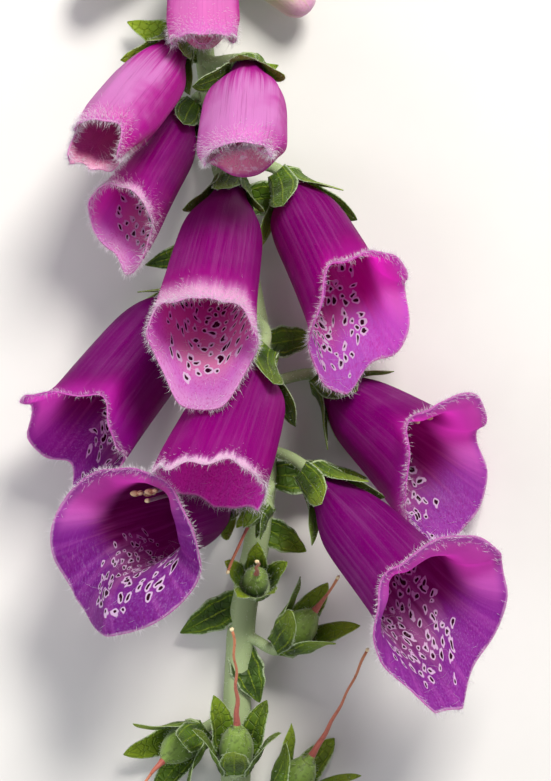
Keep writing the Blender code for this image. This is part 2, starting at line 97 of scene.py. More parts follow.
# The line of the stem: x, y and z of its axis, then its radius
STEM_LINE = (
    (-8.0, -92, 2.9, 3.0),
    (-8.0, -76, 3.1, 2.9),
    (-7.6, -60, 3.8, 2.8),
    (-6.4, -44, 4.8, 2.7),
    (-3.6, -30, 5.8, 2.6),
    (-2.2, -14, 6.4, 2.5),
    (-2.4, 2, 6.6, 2.4),
    (-4.6, 18, 6.6, 2.3),
    (-8.0, 34, 6.4, 2.2),
    (-11.6, 50, 6.0, 2.1),
    (-14.0, 66, 5.6, 1.9),
    (-15.0, 84, 5.2, 1.6),
    (-14.4, 102, 4.8, 1.4),
    (-12.0, 120, 4.2, 1.2),
    (-8.4, 138, 3.4, 1.0),
    (-4.0, 154, 2.6, 0.8),
)


class Bloom(NamedTuple):
    """An open flower. Angles are in degrees and lengths in millimetres."""

    number: int
    at: tuple  # middle of the disc that it sits on
    side: float  # way the bell points in plan, from -Y round to +X
    tip: float  # how far it lifts from the table
    roll: float  # turn about its own axis
    length: float  # of its upper side, from neck to rim
    oblique: float  # how much longer the lower side is, as a share
    flare_up: float  # slope of the rim above
    flare_low: float  # and below
    edge: float  # how much of the length flares, as a share
    swell: float  # steepest slope of the shoulder
    taper: float  # slope of the tube between shoulder and rim
    lip: float  # how far the middle lobe below stands out, as a share of the length
    lobes: float  # the lobe at each side
    crest: float  # and the one above
    leaves: float  # y of the stem where its stalk leaves
    sepal: float  # size of its sepals against a full-grown one
    curl: float  # how far the tips of the sepals stand off
    young: float  # 0 for a bell long open, 1 for one that is just opening
    jag: float  # how far the edge above goes in and out, in millimetres
    notch: float  # depth of the slits that part the lobe above from those at the sides
    margin: float  # width of the pale band outside, above the mouth, in millimetres
    fold: float  # how far a young bell's lip is drawn up over its mouth, as a share of the length
    tips: tuple = ()  # small points of the rim: angle round from the lip, and height
    fold_at: float = 0.0  # angle round from the lip at which the fold is deepest
    fold_low: float = 1.2  # how far below the axis the folded edge lies before it is drawn up
    bare: float = 0.0  # 1 where the lip is crimson and has no spots


# Number, at, side, tip, roll, length, oblique, flare_up, flare_low, edge, swell, taper, then
# lip, lobes, crest, leaves, sepal, curl, young, jag, notch, margin, fold, and what is its own
BLOOMS = (
    Bloom(1, (-14.6, 92.4, 16.7), 1, 23, 3, 25.3, 0.06, 22, -74, 0.23, 28, 3.1,
          0.12, 0.02, 0.06, 99, 0.8, 0.6, 0.9, 0.2, 0.0, 0.0, 0.15),
    Bloom(2, (-19.5, 69.2, 11.2), -38, 48, 3, 35.8, 0.04, 11, -54, 0.27, 22, 1.6,
          0.11, 0.16, 0.08, 74, 0.8, 0.8, 1.0, 0.2, 0.0, 0.0, 0.001, ((-70, 0.8),), -30, 5.5),
    Bloom(3, (-18.1, 56.0, 3.0), -33, 42, 25, 30.3, 0.24, 23, -9, 0.25, 22, 2.7,
          0.18, 0.01, 0.04, 60, 0.85, 0.8, 0.75, 0.2, 0.0, 2.2, 0.0, ((6, 0.8),)),
    Bloom(4, (-5.5, 63.4, 21), -5, 58, 8, 36.7, -0.05, -5, -88, 0.23, 28, 2.3,
          0.08, 0.06, 0.05, 66, 0.8, 1.5, 1.0, 0.1, 0.0, 0.0, 0.085),
    Bloom(5, (-8.8, 40.3, 13.2), -12, 54, -1, 40.8, 0.18, -3, 18, 0.24, 23, 3.5,
          0.20, 0.03, 0.12, 46, 0.9, 0.6, 0.6, 0.2, 0.0, 5.2, 0.0, ((-20, 0.7), (18, 0.7))),
    Bloom(6, (2.2, 41.9, 9.8), 31, 32, -12, 30.2, 0.43, 78, 12, 0.26, 32, 4.1,
          0.14, 0.11, 0.05, 46, 0.95, 1.5, 0.35, 0.2, 0.05, 1.0, 0.0, ((12, 0.8), (-24, 0.8))),
    Bloom(7, (-16.4, 20.3, 3.4), -42, 32, 6, 39.8, 0.12, 53, -9, 0.24, 34, 2.3,
          0.25, 0.09, 0.15, 26, 0.9, 0.8, 0.0, 0.3, 0.03, 0.0, 0.0, ((0, 1.4), (-100, 1.2))),
    Bloom(8, (-3.4, 6.7, 27.2), -25, 34, 10, 30.5, -0.01, 1, 5, 0.24, 34, 8,
          0.03, 0.04, 0.14, 14, 0.9, 1.5, 0.3, 0.9, 0.0, 1.6, 0.0,
          ((24, 2.4), (-30, 0.8)), bare=1.0),
    Bloom(9, (10.1, 1.7, 4.2), 56, 28, -7, 30.2, 0.40, 97, -3, 0.34, 20, 11.8,
          0.03, 0.05, 0.12, 2, 1.0, 1.5, 0.25, 0.1, 0.08, 0.0, 0.0, ((-16, 0.9), (10, 0.9))),
    Bloom(10, (7.7, -17, 20.8), 46, 37, 3, 43.5, 0.15, 99, 11, 0.29, 19, 4.9,
          0.15, 0.01, 0.00, -12, 1.0, 1.0, 0.2, 0.1, 0.04, 0.0, 0.0, ((-15, 1.7), (14, 1.7))),
    Bloom(11, (-9.5, -21.5, 3.8), -83, 58, 7, 39.9, 0.10, 48, 90, 0.28, 28, 1.9,
          0.25, 0.07, 0.00, -16, 0.9, 0.6, 0.1, 0.1, 0.0, 0.0, 0.0,
          ((-8, 2.4), (-44, 1.3), (62, 0.9))),
)


class Pod(NamedTuple):
    """A flower that has dropped its bell and is swelling into a seed pod."""

    number: int
    at: tuple  # these four are an open flower's
    side: float
    tip: float
    roll: float
    pod: tuple  # length and radius
    style: float  # length of the thread that is left on it
    droop: float  # how many degrees that thread turns over its length
    spread: float  # how far the sepals stand open at the tip
    leaves: float  # and so are these two
    sepal: float


# Number, at, side, tip, roll, pod, style, droop, spread, leaves, sepal
PODS = (
    Pod(1, (-4.0, -38.8, 12.4), 175, 68, 0, (7.5, 2.8), 11, 10, 1.6, -37, 0.7),
    Pod(2, (2.0, -50.4, 9.2), 134, 28, 20, (10.0, 4.0), 9, -14, 3.4, -50, 0.95),
    Pod(3, (-16.4, -69.6, 5.2), -60, 40, 10, (10.0, 3.8), 9, 20, 3.5, -66, 0.95),
    Pod(4, (-8.0, -74.5, 11.5), 176, 36, 30, (10.0, 3.8), 22, -14, 3.0, -77, 0.9),
    Pod(5, (2.0, -81.5, 6.5), 146, 20, 0, (10.5, 4.0), 25, -12, 3.0, -83, 1.0),
    Pod(6, (-3.0, -22.6, 22.4), -31, 4, 0, (5.0, 1.9), 9.5, 10, 0.6, -19, 0.5),
)


class Bud(NamedTuple):
    """A flower that has not opened."""

    number: int
    y: float  # where its stalk leaves the stem
    round: float  # way it points round the stem, from straight up to +X
    nod: float  # angle that it makes with the foot's end of the stem
    length: float
    radius: float


# Number, y, round, nod, length, radius
BUDS = (
    Bud(1, 92, -78, 52, 20.0, 4.7),
    Bud(2, 88, 80, 48, 19.0, 4.6),
    Bud(3, 108, 62, 56, 16.0, 4.1),
    Bud(4, 112, -70, 62, 14.5, 3.8),
    Bud(5, 119, 4, 60, 13.0, 3.5),
    Bud(6, 126, 72, 70, 11.0, 3.1),
    Bud(7, 130, -64, 78, 10.0, 2.9),
    Bud(8, 136, 10, 80, 8.5, 2.6),
    Bud(9, 142, 78, 95, 7.5, 2.4),
)

# Bracts: y on the stem, way in plan from -Y round to +X, lift, length, half width, droop
BRACTS = (
    (68, -112, 4, 17, 3.4, 10),
    (98, -112, 12, 11, 2.2, 15),
    (101, 118, 12, 11, 2.2, 15),
    (60, 112, 10, 15, 3.0, 20),
    (38, 96, 0, 19, 3.4, 10),
    (30, -76, 20, 20, 3.4, 35),
    (9, 100, 0, 12, 3.2, 20),
    (-17, 88, 4, 21, 3.6, 15),
    (-27, 60, 14, 11, 3.0, 30),
    (-42, -62, 4, 15, 3.4, 15),
    (-52, 20, 32, 12, 3.4, 45),
    (-86, -70, 0, 27, 5.0, 5),
)


# --- curves and directions ------------------------------------------------------------------


def smooth(x):
    """From 0 to 1 by 3x^2 - 2x^3, and level outside."""
    x = np.clip(x, 0, 1)
    return x * x * (3 - 2 * x)


def turn_from(centre, angle):
    """Angle from a centre, the shorter way round."""
    return (angle - centre + pi) % (2 * pi) - pi


def lobe(angle, centre, width):
    """A rounded bump round a centre angle: e to the minus cube of the gap over the width."""
    return np.exp(-((np.abs(turn_from(centre, angle)) / width) ** 3))


def two_lobes(angle, centre, width):
    """The same bump at each side."""
    return lobe(angle, centre, width) + lobe(angle, -centre, width)


def unit(vectors):
    """Vectors at length one."""
    vectors = np.asarray(vectors, float)
    return vectors / np.maximum(np.linalg.norm(vectors, axis=-1, keepdims=True), 1e-9)


def through(stations, count):
    """A smooth line through stations, evenly spaced in the stations' own steps (Catmull-Rom)."""
    stations = np.asarray(stations, float)
    line = np.vstack([2 * stations[0] - stations[1], stations, 2 * stations[-1] - stations[-2]])
    place = np.linspace(0, len(stations) - 1, count)
    first = np.minimum(place.astype(int), len(stations) - 2)
    t = (place - first)[:, None]
    a, b, c, d = (line[first + k] for k in range(4))
    return 0.5 * (
        2 * b + (c - a) * t + (2 * a - 5 * b + 4 * c - d) * t**2 + (3 * b - a - 3 * c + d) * t**3
    )


def stem_at(y):
    """Middle and radius of the stem where it passes y, on a smooth line through its stations."""
    line = np.array(STEM_LINE)
    i = int(np.clip(np.searchsorted(line[:, 1], y) - 1, 0, len(line) - 2))
    before, start, end, after = (line[np.clip(i + k, 0, len(line) - 1)] for k in (-1, 0, 1, 2))
    t = np.clip((y - start[1]) / (end[1] - start[1]), 0, 1)
    value = (
        start * (1 - 3 * t**2 + 2 * t**3)
        + end * (3 * t**2 - 2 * t**3)
        + (end - before) / 2 * (t - 2 * t**2 + t**3)
        + (after - start) / 2 * (t**3 - t**2)
    )
    return np.array([value[0], y, value[2]]), value[3]


def arc(start, away, end, arriving, count):
    """A cubic from start, leaving it along away, to end, reached along arriving."""
    start, end = np.asarray(start, float), np.asarray(end, float)
    reach = np.linalg.norm(end - start) * 0.3
    near, far = start + np.asarray(away) * reach, end - np.asarray(arriving) * reach
    t = np.linspace(0, 1, count)[:, None]
    first, last = (1 - t) ** 3 * start + 3 * t * (1 - t) ** 2 * near, 3 * t**2 * (1 - t) * far
    return first + last + t**3 * end


def axes(side, tip, roll):
    """The three directions of a flower, as columns: its right, its back and the way it points."""
    side, tip, roll = radians(side), radians(tip), radians(roll)
    way = Vector((sin(side) * cos(tip), -cos(side) * cos(tip), sin(tip)))
    back = Vector((0, 1, 0))
    back = (back - way * back.dot(way)).normalized()
    back.rotate(Matrix.Rotation(roll, 3, way))
    return np.array(Matrix((back.cross(way), back, way)).transposed())


def put(turn, at, points):
    """Points of a flower's own frame, set down in the spike's frame."""
    return np.asarray(at) + points @ turn.T


def bent(radius, phi, height, length):
    """Points of a round form whose axis nods evenly along its length."""
    across = radius * np.sin(phi)
    up = -radius * np.cos(phi) * FLATTER
    curve = radians(BEND) / length
    turn = curve * height
    back = up * np.cos(turn) - (1 - np.cos(turn)) / curve
    return np.stack([across, back, np.sin(turn) / curve + up * np.sin(turn)], -1)


def frames_along(path):
    """Two directions square to a path at each of its points, carried along it without twisting."""
    along = unit(np.gradient(path, axis=0))
    across = np.cross((0, 0, 1) if abs(along[0][2]) < 0.9 else (0, 1, 0), along[0])
    kept = []
    for heading in along:
        across = unit(across - heading * (across @ heading))
        kept.append(across)
    kept = np.array(kept)
    return kept, np.cross(along, kept)


# --- surfaces -------------------------------------------------------------------------------


def grid_faces(rows, columns, closed=False, ring=False):
    """Quads of a grid of points. Closed joins its last column to its first, and ring its rows."""
    row = np.arange(rows if ring else rows - 1)[:, None]
    column = np.arange(columns if closed else columns - 1)[None]
    after, above = (column + 1) % columns, (row + 1) % rows
    corners = (row, column), (row, after), (above, after), (above, column)
    return np.stack([r * columns + c for r, c in corners], -1).reshape(-1, 4)


def slab_faces(rows, columns):
    """Quads of two grids, one behind the other, with the strip of edge between them."""
    front = grid_faces(rows, columns)
    size = rows * columns
    r, c = np.arange(rows - 1) * columns, np.arange(columns - 1)
    top, right = size - columns, columns - 1
    edges = [(c + 1, c), (r + right + columns, r + right), (top + c, top + c + 1), (r, r + columns)]
    strip = np.vstack([np.stack([a, b, b + size, a + size], -1) for a, b in edges])
    return np.vstack([front, front[:, ::-1] + size, strip])


def normals_of(points):
    """Unit normals of a grid of points: the steps along its columns crossed with its rows'."""
    return unit(np.cross(np.gradient(points, axis=1), np.gradient(points, axis=0)))


class Form:
    """The points, faces and point values of one piece, gathered part by part."""

    def __init__(self):
        self.points, self.faces, self.slots, self.values, self.count = [], [], [], {}, 0

    def add(self, points, faces, slot, **values):
        """Add a part. Faces count its own points from 0. A value is three numbers a point."""
        shape = points.shape
        points = points.reshape(-1, 3)
        self.points.append(points)
        for corners in faces if isinstance(faces, list) else [faces]:
            self.faces.append(np.asarray(corners) + self.count)
            self.slots.append(np.broadcast_to(slot, len(corners)))
        for name, value in values.items():
            stack = [np.broadcast_to(number, shape[:-1]).ravel() for number in value]
            self.values.setdefault(name, []).append((self.count, np.stack(stack, -1)))
        self.count += len(points)

    def slab(self, points, thickness, slot, **values):
        """Add a thin blade: a grid of points given a wall, thickness at each point."""
        offset = normals_of(points) * (thickness[..., None] / 2)
        both = np.stack([points + offset, points - offset])
        self.add(both, slab_faces(*points.shape[:2]), slot, **values)

    def tube(self, path, radius, sides, slot, values, flat=1.0):
        """Add a round body: circles of the given radii along a path, with a point at each end.

        Radius is one number a station, or one a station and side. Values maps a name to a function
        of the share along the path and the angle round it. Flat squashes the circles.
        """
        count = len(path)
        theta = np.linspace(0, 2 * pi, sides, endpoint=False)
        across, up = frames_along(path)
        radius = np.broadcast_to(np.reshape(radius, (count, -1)), (count, sides))[..., None]
        circle = across[:, None] * np.cos(theta)[:, None]
        circle = circle + up[:, None] * np.sin(theta)[:, None] * flat
        rings = (path[:, None] + radius * circle).reshape(-1, 3)
        points = np.vstack([rings, path[0], path[-1]])
        share = np.concatenate([np.repeat(np.linspace(0, 1, count), sides), [0, 1]])
        angle = np.concatenate([np.tile(theta, count), [0, 0]])
        side = np.arange(sides)
        last, poles = (count - 1) * sides, count * sides
        foot = np.stack([np.full(sides, poles), (side + 1) % sides, side], -1)
        head = np.stack([np.full(sides, poles + 1), last + side, last + (side + 1) % sides], -1)
        found = {name: rule(share, angle) for name, rule in values.items()}
        self.add(points, [grid_faces(count, sides, True), foot, head], slot, **found)

    def finish(self, name, looks, replaced, slot):
        """Make the piece's mesh in the frame, hang it on the root, and hide the part's nodes that
        it stands for.
        """
        points = (np.vstack(self.points) + HOME) * MM
        points[:, 2] = np.maximum(points[:, 2], 0)
        corners = np.concatenate([faces.ravel() for faces in self.faces])
        sizes = np.concatenate([np.full(len(faces), faces.shape[1]) for faces in self.faces])
        mesh = bpy.data.meshes.new(name)
        mesh.vertices.add(len(points))
        mesh.vertices.foreach_set("co", points.ravel())
        mesh.loops.add(len(corners))
        mesh.loops.foreach_set("vertex_index", corners)
        mesh.polygons.add(len(sizes))
        mesh.polygons.foreach_set("loop_start", np.cumsum(sizes) - sizes)
        mesh.polygons.foreach_set("material_index", np.concatenate(self.slots))
        mesh.update(calc_edges=True)
        mesh.shade_smooth()
        for key, pieces in self.values.items():
            held = np.zeros((len(points), 3))
            for first, value in pieces:
                held[first : first + len(value)] = value
            attribute = mesh.attributes.new(key, "FLOAT_VECTOR", "POINT")
            attribute.data.foreach_set("vector", held.ravel())
        for look in looks:
            mesh.materials.append(look)
        if mesh.validate():
            raise RuntimeError(f"{name} has faces that don't close")
        piece = bpy.data.objects.new(name, mesh)
        bpy.context.scene.collection.objects.link(piece)
        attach(piece, "root")
        if replaced:
            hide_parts(*replaced)


def strands(form, roots, ways, lengths, radius, draw, limp=0.35, slot=0):
    """Add hairs: three-sided cones in two steps, which leave their root one way and turn aside.

    A hair's middle is its root plus half its length along its way. Its tip is a full length along,
    and aside by a random push of limp times the length.
    """
    count = len(roots)
    ways, lengths = unit(ways), np.broadcast_to(lengths, count)[:, None]
    push = np.cross(ways, unit(draw.normal(size=(count, 3)))) * lengths * limp
    push[:, 2] -= np.abs(push[:, 2]) * 0.3
    across = unit(np.cross(ways, ways[:, [1, 2, 0]] + 0.31))
    up = np.cross(ways, across)
    theta = np.array([0, 2, 4]) * pi / 3
    circle = across[:, None] * np.cos(theta)[:, None] + up[:, None] * np.sin(theta)[:, None]
    foot = (roots - ways * 0.08)[:, None] + circle * radius
    middle = (roots + ways * lengths * 0.5 + push * 0.2)[:, None] + circle * radius * 0.7
    tip = (roots + ways * lengths + push)[:, None]
    points = np.concatenate([foot, middle, tip], 1)
    quads = np.array([(0, 1, 4, 3), (1, 2, 5, 4), (2, 0, 3, 5)])
    ends = np.array([(3, 4, 6), (4, 5, 6), (5, 3, 6), (0, 2, 1)])
    start = np.arange(count)[:, None, None] * points.shape[1]
    share = np.array([0, 0, 0, 0.5, 0.5, 0.5, 1])
    shade = draw.random(count)[:, None]
    faces = [(start + corners).reshape(-1, corners.shape[1]) for corners in (quads, ends)]
    form.add(points, faces, slot, hair=(share, shade, 0))


# --- forms of the plant ---------------------------------------------------------------------


def bell_profile(bloom, phi, rows):
    """Radius and height of a bell's wall, row by row from neck to rim, at the angles phi.

    Phi is 0 at the lower lip. The slope of the wall is a tube's, with a swell at the shoulder
    and a flare at the rim, and radius and height are its running sums. The rim stands further
    out along the lower side and at each lobe, and goes in and out above.
    """
    low = (1 + np.cos(phi)) / 2
    turned = ((1 + fold_side(bloom, phi)) / 2) ** (0.9 if bloom.fold_at else 1.2)
    part = np.linspace(0, 1, rows * WALL_STEPS + 1)[:, None] * bell_end(bloom, phi)
    end = part[-1]

    # Slopes of the tube, the shoulder and the rim, and how far a place has turned out to the rim
    tube = radians(bloom.taper)
    swell = np.exp(-(((part - SHOULDER) / SHOULDER_REACH) ** 2))
    swell = np.radians(bloom.swell + 8 * np.cos(phi)) * swell
    rim = np.radians(bloom.flare_up + (bloom.flare_low - bloom.flare_up) * turned)
    out = smooth(1 - (end - part) / (bloom.edge * (1 + 0.6 * low)))
    slope = tube + swell + (rim - tube) * out

    step = np.diff(part, axis=0) * bloom.length
    middle = (slope[1:] + slope[:-1]) / 2
    zero = np.zeros((1, len(phi)))
    radius = NECK + np.vstack([zero, np.cumsum(np.sin(middle) * step, 0)])
    height = np.vstack([zero, np.cumsum(np.cos(middle) * step, 0)])
    if bloom.fold:
        radius = folded_in(bloom, phi, part, radius)
    return radius[::WALL_STEPS], height[::WALL_STEPS]


def fold_side(bloom, phi):
    """Cosine of the angle from where a bell's fold is deepest."""
    return np.cos(phi - radians(bloom.fold_at))


def folded_in(bloom, phi, part, radius):
    """Radius of a wall whose lip is folded in: it nears a straight edge, and never the axis.

    The edge's radius is its distance from the axis over the cosine of the angle from the fold.
    Half way to it from the widest ring, the radius begins to fall towards it exponentially.
    """
    most = radius.max(0)
    straight = bloom.fold_low / np.maximum(fold_side(bloom, phi), 0.02)
    least = np.minimum(straight, 0.75 * most)
    room = 0.5 * (most - least)
    nearing = least + room * np.exp(np.minimum((radius - least - room) / room, 0))
    return np.where((part > 0.5) & (radius < least + room), nearing, radius)


def bell_end(bloom, phi):
    """Length of a bell's wall at the angles phi, as a share of its upper side's.

    It is 1, plus a cosine that is most below, plus rounded bumps for the lip, the crest and the
    lobes, less two slits, plus small sharp tips and the waves of an uneven edge.
    """
    end = 1 + bloom.oblique * (1 + np.cos(phi)) / 2 + bloom.lip * lobe(phi, 0, 0.62)
    end = end + bloom.crest * lobe(phi, pi, 0.95)
    end = end + bloom.lobes * two_lobes(phi, SIDE_LOBE, LOBE_WIDTH)
    if bloom.fold_at:
        end = end + 0.1 * lobe(phi, radians(1.4 * bloom.fold_at), LOBE_WIDTH)
    end = end - bloom.notch * two_lobes(phi, SLIT, 0.2)
    for angle, height in bloom.tips:
        gap = np.abs(turn_from(radians(angle), phi))
        end = end + height / bloom.length * np.exp(-gap / 0.15)
    above, all_round = np.cos(9 * (phi - pi)) * lobe(phi, pi, 1.1), np.cos(13 * phi + bloom.number)
    return end + bloom.jag * (above + 0.15 * all_round) / bloom.length


def node_of(kind, flower):
    """Name of the part's node that a flower's piece stands for."""
    return f"{kind}_{flower.number:02d}"


def spike_home():
    """Where the spike's own zero lies in the frame: from each bell's box to its box by rule."""
    found = []
    phi = np.linspace(0, 2 * pi, 64, endpoint=False)
    for bloom in BLOOMS:
        radius, height = bell_profile(bloom, phi, PLAIN_GRID[0])
        turn = axes(bloom.side, bloom.tip, bloom.roll)
        points = bent(radius, phi, height + GAP, bloom.length)
        by_rule = put(turn, bloom.at, points).reshape(-1, 3)
        box = np.array(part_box(node_of("bell", bloom))) / MM
        found.append(box.mean(0) - (by_rule.min(0) + by_rule.max(0)) / 2)
    x, y, _ = np.median(found, axis=0)
    return np.array([x, y, 0])


HOME = spike_home()


class Wall:
    """A bell's middle surface on a grid, with the ways along it and out of it."""

    def __init__(self, bloom, grid=PLAIN_GRID):
        rows, columns = grid
        self.bloom, self.rows, self.columns = bloom, rows, columns
        self.turn, at = axes(bloom.side, bloom.tip, bloom.roll), np.array(bloom.at)
        self.phi = np.linspace(0, 2 * pi, columns, endpoint=False)
        self.share = np.linspace(0, 1, rows + 1)[:, None]
        draw = np.random.default_rng(WALL_SEED + bloom.number)
        radius, height = bell_profile(bloom, self.phi, rows)
        radius = radius + self.waves(draw) + self.pleats()
        points = bent(radius, self.phi, height + GAP, bloom.length)
        if bloom.fold:
            points[..., 1] += self.lifted(radius)
        self.points = put(self.turn, at, points)
        around = unit(np.roll(self.points, -1, 1) - np.roll(self.points, 1, 1))
        self.along = unit(np.gradient(self.points, axis=0))
        self.out = unit(np.cross(around, self.along))

        # Millimetres round from the lip, and down the wall from the lip and from the rim
        end = bell_end(bloom, self.phi) * bloom.length
        self.arc = turn_from(0, self.phi) * radius
        self.from_lip, self.from_rim = (1 - self.share) * end[0], (1 - self.share) * end

    def waves(self, draw):
        """Millimetres that the rim goes in and out: a sum of waves, growing to the edge."""
        total = 0
        for count in range(3, 13):
            turn, size = draw.uniform(0, 2 * pi), draw.uniform(0.3, 1) / count
            total = total + size * np.cos(count * self.phi + turn)
        edge = smooth((self.share - 0.72) / 0.28)
        return total * edge * (0.75 - 0.35 * self.bloom.young)

    def lifted(self, radius):
        """Millimetres that a folded lip is drawn up over the mouth, most at its edge.

        They grow with how far the wall has come in from its widest ring, as a share of all the
        way, to the power 1.2, and only round where the fold is deepest.
        """
        most = radius.max(0)
        inward = most - radius[-1]
        progress = np.clip((most - radius) / np.maximum(inward, 0.5), 0, 1)
        progress = progress * smooth((self.share - 0.5) / 0.2)
        below = smooth((fold_side(self.bloom, self.phi) + 0.35) / 0.9)
        rise = self.bloom.fold * self.bloom.length * progress**1.2
        return rise * below * smooth((inward - 0.5) / 2)

    def pleats(self):
        """Millimetres of the shallow ribs along the wall: one between two lobes, and a keel.

        They are rounded bumps round the wall, less wider ones between them, times a power of a
        sine along it, so that they fade at the neck and the rim.
        """
        ribs = sum(lobe(self.phi, centre, 0.16) for centre in (0.95, 2.0, -0.95, -2.0, pi))
        hollow = sum(lobe(self.phi, centre, 0.3) for centre in (0.5, -0.5, 2.55, -2.55))
        middle = np.sin(pi * np.clip(self.share, 0, 1)) ** 0.8
        return (0.16 + 0.14 * self.bloom.young) * middle * (ribs - 0.6 * hollow)

    def place(self, grid, share, phi):
        """A grid's values at shares along the wall and angles round it, straight between points."""
        row = np.clip(share, 0, 1) * self.rows
        column = (phi / (2 * pi) * self.columns) % self.columns
        r, c = np.minimum(row.astype(int), self.rows - 1), column.astype(int) % self.columns
        s, t = (row - r)[:, None], (column - column.astype(int))[:, None]
        after = (c + 1) % self.columns
        near = grid[r, c] * (1 - t) + grid[r, after] * t
        far = grid[r + 1, c] * (1 - t) + grid[r + 1, after] * t
        return near * (1 - s) + far * s

    def width_at(self, phi, height):
        """Radius of the bell at angles and heights, for what wraps it. Both are flat arrays."""
        sides, levels = 48, 40
        angles = np.linspace(0, 2 * pi, sides, endpoint=False)
        radius, rise = bell_profile(self.bloom, angles, PLAIN_GRID[0])
        heights = np.linspace(0, rise[-1].min(), levels)
        table = np.array([np.interp(heights, rise[:, i], radius[:, i]) for i in range(sides)])
        level = np.clip(height / heights[-1], 0, 0.999) * (levels - 1)
        column = (phi % (2 * pi)) / (2 * pi) * sides
        c, r = column.astype(int) % sides, level.astype(int)
        t, s = column - column.astype(int), level - r
        after = (c + 1) % sides
        low = table[c, r] * (1 - t) + table[after, r] * t
        high = table[c, r + 1] * (1 - t) + table[after, r + 1] * t
        return low * (1 - s) + high * s


def bell_form(wall, petal):
    """A bell as one closed wall: outside from neck to rim, round the edge, and back down inside."""
    share = wall.share
    half = petal / 2 * (1.5 - 0.7 * share)[..., None]
    outer, inner = wall.points + wall.out * half, wall.points - wall.out * half
    edge = wall.points[-1:] + wall.along[-1:] * half[-1:]
    points = np.concatenate([outer, edge, inner[::-1]])

    def both(grid):
        """A grid's values outside, at the edge, and back down inside."""
        grid = np.broadcast_to(grid, wall.points.shape[:2])
        return np.concatenate([grid, grid[-1:], grid[::-1]])

    rows, columns = points.shape[:2]
    faces = grid_faces(rows, columns, closed=True, ring=True)
    slot = np.repeat(np.arange(rows) > wall.rows + 1, columns).astype(int)
    way = (both(np.sin(wall.phi)), both(np.cos(wall.phi)), both(share))
    place = (both(wall.arc), both(wall.from_lip), both(wall.from_rim))
    bloom, form = wall.bloom, Form()
    kind = (bloom.young, bloom.number, bloom.margin)
    shape = (min(max(bloom.flare_up / 55, bloom.margin / 9, 0.0), 1.0), bloom.bare, 0)
    form.add(points, faces, slot, way=way, place=place, kind=kind, shape=shape)
    return form


def bell_hairs(wall, length, radius, each_mm):
    """The hairs of a bell: a fringe along its rim, fuzz behind it, a beard inside the lip."""
    bloom, form = wall.bloom, Form()
    draw = np.random.default_rng(HAIR_SEED + bloom.number)
    rim = np.linalg.norm(np.diff(wall.points[-1], axis=0), axis=1).sum()

    def sown(share, phi):
        """Place, way out and way along of hairs on the wall."""
        return [wall.place(grid, share, phi) for grid in (wall.points, wall.out, wall.along)]

    def lean(count, size):
        """A random way aside for each hair."""
        return draw.normal(size=(count, 3)) * size

    # The fringe: out of the edge and forward, longest round the lip
    count = int(rim * each_mm * (1 + 0.6 * bloom.young))
    phi = draw.uniform(0, 2 * pi, count)
    at, out, along = sown(1 - draw.random(count) * 0.02, phi)
    low = (1 + np.cos(phi)) / 2
    size = length * (0.3 + 0.7 * draw.random(count)) * (0.8 + 0.35 * low)
    size = size * np.where(draw.random(count) < 0.06, 1.5, 1)
    ways = out * draw.normal(0.35, 0.5, count)[:, None] + along * 0.8 + lean(count, 0.25)
    strands(form, at, ways, size, radius, draw)

    # The fuzz: off the outside, thinning away from the rim
    count = int(rim * each_mm * (0.5 + 2.6 * bloom.young))
    phi = draw.uniform(0, 2 * pi, count)
    back = np.abs(draw.normal(size=count)) * (0.9 + 1.6 * bloom.young)
    at, out, along = sown(1 - back / bloom.length, phi)
    size = length * (0.25 + 0.3 * draw.random(count) + 0.25 * bloom.young)
    ways = out + along * 0.5 + lean(count, 0.3)
    strands(form, at + out * 0.12, ways, size, radius * 0.6, draw)

    # The beard: up from the floor of the bell, long and fine
    count = int(34 + 66 * bloom.young)
    phi = draw.normal(0, 0.42, count)
    at, out, along = sown(1 - draw.uniform(0.03, 0.5, count), phi)
    size = length * (0.8 + 1.3 * draw.random(count))
    ways = -out + along * 0.7 + lean(count, 0.45)
    strands(form, at - out * 0.12, ways, size, radius * 0.5, draw, limp=0.5)

    # What hangs into the mouth from under the rim above
    count = int(60 + 240 * bloom.young)
    phi = pi + draw.normal(0, 0.8 + 0.8 * bloom.young, count)
    at, out, along = sown(1 - draw.random(count) * 0.05, phi)
    size = 0.4 + 0.5 * draw.random(count) + 0.5 * bloom.young * draw.random(count)
    strands(form, at, -out + along * 0.5 + lean(count, 0.3), length * size, radius, draw)
    return form


